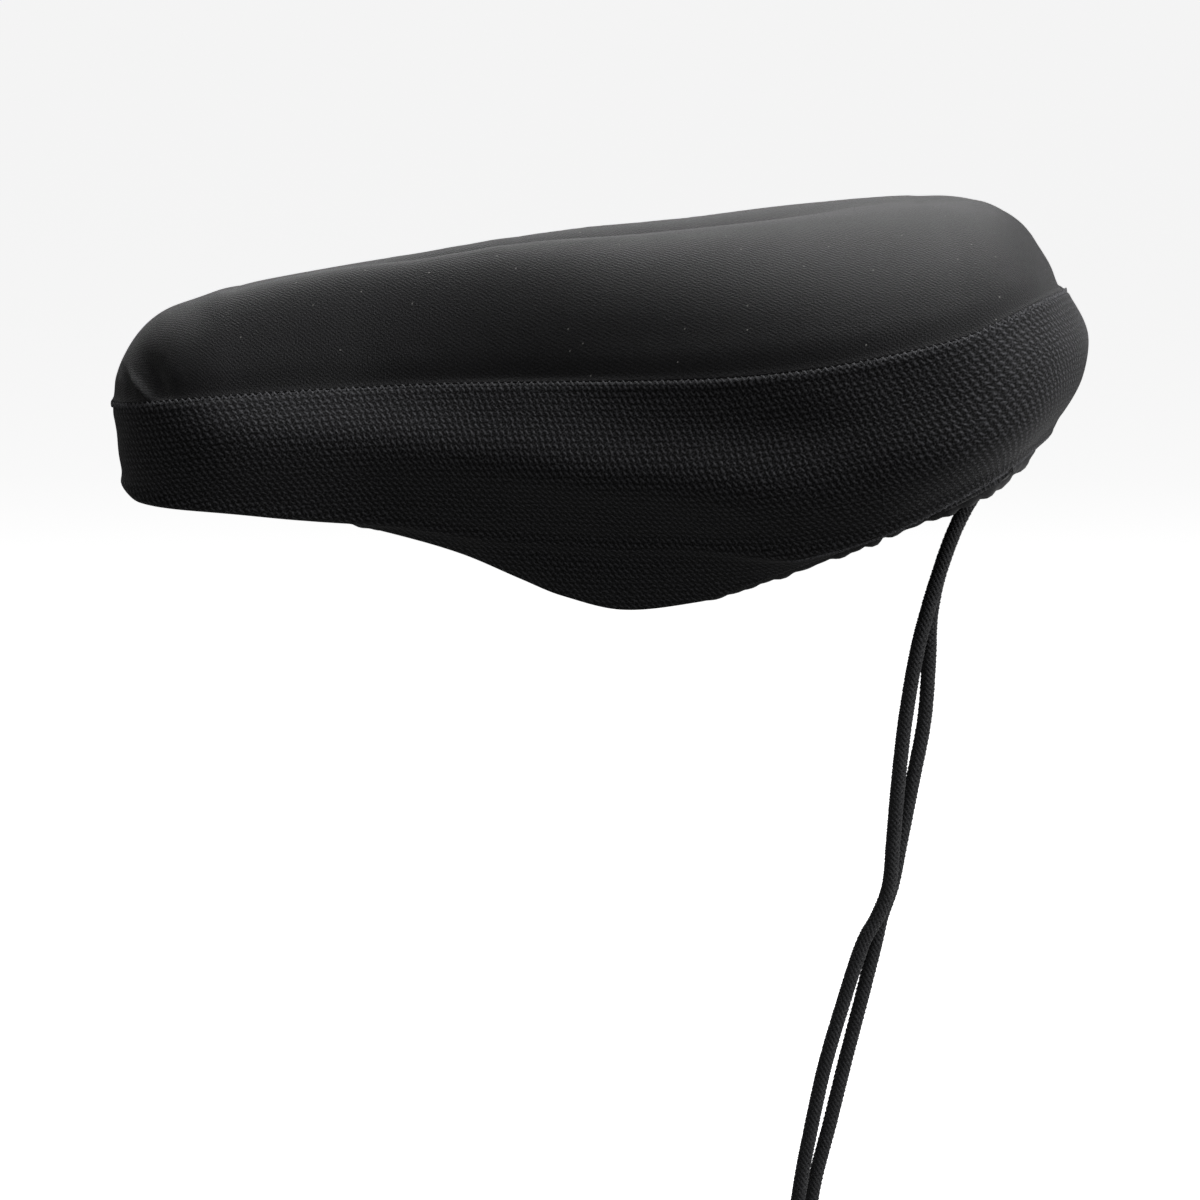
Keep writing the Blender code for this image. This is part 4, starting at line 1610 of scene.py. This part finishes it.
@dataclass
class GripDots:
    """Small rubber dots printed on the lining's underside, set out by a node tree."""

    gap: float = 0.0062
    radius: float = 0.0011
    height: float = 0.0003
    most_dots: float = 90000.0
    seed: int = 4

    def tree(self, material: Material) -> NodeTree:
        """Build the node tree: a flat dot on each scattered point of the underside.

        Args:
            material: The dots' rubber.

        Returns:
            The tree, with its sizes as named inputs.
        """
        sizes = {"Gap": self.gap, "Radius": self.radius, "Height": self.height}
        tree, given = open_tree("grip_dots_tree", "Cloth", sizes, "Dots")
        normal = add_node(tree, "GeometryNodeInputNormal")
        parts = add_node(tree, "ShaderNodeSeparateXYZ", {0: normal})
        inputs = {
            "Mesh": given["Cloth"],
            "Selection": formula(tree, ("LESS_THAN", parts.outputs[2], -0.5)),
            "Distance Min": given["Gap"],
            "Density Max": self.most_dots,
            "Seed": self.seed,
        }
        spots = add_node(
            tree, "GeometryNodeDistributePointsOnFaces", inputs, distribute_method="POISSON"
        )
        inputs = {"Segments": 10, "Rings": 5, "Radius": 1.0}
        dot = add_node(tree, "GeometryNodeMeshUVSphere", inputs)
        inputs = {"X": given["Radius"], "Y": given["Radius"], "Z": given["Height"]}
        size = add_node(tree, "ShaderNodeCombineXYZ", inputs)
        inputs = {
            "Points": spots.outputs["Points"],
            "Instance": dot,
            "Rotation": spots.outputs["Rotation"],
            "Scale": size,
        }
        dots = add_node(tree, "GeometryNodeInstanceOnPoints", inputs)
        return close_tree(tree, dots, "Dots", material)

    def build(self, lining: Object) -> Object:
        """Print the dots on the lining.

        Args:
            lining: The finished lining.

        Returns:
            The dressed dots.
        """
        material = RUBBER.build()
        piece = add_object("grip_dots", lining.data.copy())
        piece.modifiers.new("Dots", "NODES").node_group = self.tree(material)
        return dress(bake_modifiers(piece), material, "lining")


@dataclass
class Filling:
    """The foam under the crown and the gel inserts in its pockets."""

    crown: CrownPanel
    foam_voxel: float = 0.0018
    foam_passes: int = 4
    gel_voxel: float = 0.0009
    gel_passes: int = 6
    slack: float = 0.0007

    def foam(self) -> Object:
        """Make the foam, a little slack under the panel and hollow where that is.

        Returns:
            The dressed foam.
        """
        piece = softened("foam_core", "foam_pad", self.foam_voxel, self.foam_passes)
        points, normals = vertex_places(piece.data), vertex_places(piece.data, "normal")
        move = sum(dent.apply(points) for dent in self.crown.dents)
        move = np.minimum(move, 0.0) - self.slack
        move = move * smooth_step(-0.2, 0.2, normals[:, 2])
        piece.data.vertices.foreach_set("co", (points + normals * move[:, None]).ravel())
        piece.data.update()
        return dress(piece, FOAM.build(), "foam", "foam_pad")

    def gel(self, name: str, node: str, material: Material) -> Object:
        """Mould one gel insert with soft edges.

        Args:
            name: The insert's name.
            node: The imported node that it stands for.
            material: The gel.

        Returns:
            The dressed insert.
        """
        piece = softened(name, node, self.gel_voxel, self.gel_passes)
        return dress(piece, material, "gel", node)

    def build(self) -> list[Object]:
        """Make the filling.

        Returns:
            The foam and both inserts.
        """
        gel = GEL.build()
        return [
            self.foam(),
            self.gel("gel_right", "gel_insert_right", gel),
            self.gel("gel_left", "gel_insert_left", gel),
        ]


# ---- studio ----


def aim_from(piece: Object, place: Point, aim: Point) -> None:
    """Put a lamp or the camera in its place and turn it to a point.

    Args:
        piece: The lamp or the camera.
        place: Where it stands.
        aim: What it faces.
    """
    piece.location = place
    way = Vector(aim) - Vector(place)
    piece.rotation_euler = way.to_track_quat("-Z", "Y").to_euler()


@dataclass(frozen=True)
class Softbox:
    """One area lamp, aimed at the cover."""

    name: str
    place: Point
    size: tuple[float, float]
    power: float

    def build(self) -> None:
        """Add the lamp, which the camera itself doesn't see."""
        data = bpy.data.lights.new(self.name, "AREA")
        data.shape = "RECTANGLE"
        data.size, data.size_y = self.size
        data.energy = self.power
        lamp = add_object(self.name, data)
        lamp.visible_camera = False
        aim_from(lamp, self.place, (0.0, 0.0, 0.0))


@dataclass
class Studio:
    """A plain white floor, soft lamps and the camera."""

    floor_z: float = -0.36
    floor_size: float = 60.0
    floor_glow: float = 0.9
    ambient: float = 0.006
    camera_place: Point = (0.0, -1.2857, 0.1122)
    camera_aim: Point = (0.0, 0.0, -0.080)
    lens: float = 135.9
    lamps: tuple[Softbox, ...] = (
        Softbox("overhead_softbox", (0.35, 0.1, 1.35), (1.2, 0.8), 9.0),
        Softbox("rear_top_softbox", (0.0, 1.0, 1.1), (1.2, 0.8), 9.0),
        Softbox("low_rim_softbox", (0.0, 1.4, 0.5), (1.2, 0.8), 1.6),
        Softbox("front_softbox", (0.0, -1.4, 0.8), (1.0, 0.6), 3.3),
        Softbox("right_softbox", (1.1, -0.45, 0.6), (0.7, 0.7), 10.0),
    )

    def floor(self) -> None:
        """Add the floor: white to the camera, grey to the other light, open from below."""
        half = self.floor_size / 2.0
        corners = [(-half, -half), (half, -half), (half, half), (-half, half)]
        mesh = bpy.data.meshes.new("studio_floor")
        mesh.from_pydata([(x, y, self.floor_z) for x, y in corners], [], [(0, 1, 2, 3)])
        piece = add_object("studio_floor", mesh)
        material = bpy.data.materials.new("white_studio_floor")
        tree = clean_tree(material)
        matt, dim = (
            add_node(tree, "ShaderNodeBsdfDiffuse", {"Color": linear(code)})
            for code in ("#f0f0f0", "#6a6a6a")
        )
        inputs = {"Color": linear("#ffffff"), "Strength": self.floor_glow}
        glow = add_node(tree, "ShaderNodeEmission", inputs)
        both = add_node(tree, "ShaderNodeAddShader", {0: matt, 1: glow})
        seen = add_node(tree, "ShaderNodeLightPath").outputs["Is Camera Ray"]
        inputs = {0: seen, 1: dim, 2: both}
        shown = add_node(tree, "ShaderNodeMixShader", inputs)
        clear = add_node(tree, "ShaderNodeBsdfTransparent")
        below = add_node(tree, "ShaderNodeNewGeometry").outputs["Backfacing"]
        inputs = {0: below, 1: shown, 2: clear}
        surface = add_node(tree, "ShaderNodeMixShader", inputs)
        add_node(tree, "ShaderNodeOutputMaterial", {"Surface": surface})
        mesh.materials.append(material)

    def world(self) -> None:
        """Set the world: white where the camera sees it, a soft grey light elsewhere."""
        world = bpy.data.worlds.new("studio")
        tree = clean_tree(world)
        light, white = (
            add_node(
                tree, "ShaderNodeBackground", {"Color": linear("#ffffff"), "Strength": strength}
            )
            for strength in (self.ambient, 1.0)
        )
        camera = add_node(tree, "ShaderNodeLightPath").outputs["Is Camera Ray"]
        inputs = {0: camera, 1: light, 2: white}
        mixed = add_node(tree, "ShaderNodeMixShader", inputs)
        add_node(tree, "ShaderNodeOutputWorld", {"Surface": mixed})
        bpy.context.scene.world = world

    def camera(self) -> None:
        """Add the camera at the photograph's angle."""
        data = bpy.data.cameras.new("camera")
        data.lens = self.lens
        data.sensor_width = 36.0
        camera = add_object("camera", data)
        aim_from(camera, self.camera_place, self.camera_aim)
        bpy.context.scene.camera = camera

    def build(self) -> None:
        """Set up the studio."""
        self.camera()
        self.floor()
        self.world()
        for lamp in self.lamps:
            lamp.build()
        bpy.context.scene.view_settings.view_transform = "Standard"


def main() -> None:
    """Build the studio and every piece of the cover, in order."""
    logging.basicConfig(level=logging.INFO, format="%(name)s: %(message)s")
    Studio().build()
    shape = WornShape()
    casing = HemCasing(shape)
    crown = CrownPanel(shape)
    steps: list[Callable[[], Any]] = [
        Drawstring(casing).build,
        crown.build,
        KnitSkirt(shape).build,
        casing.build,
        GripLining(shape).build,
        Filling(crown).build,
    ]
    for step in steps:
        step()


if __name__ == "__main__":
    main()
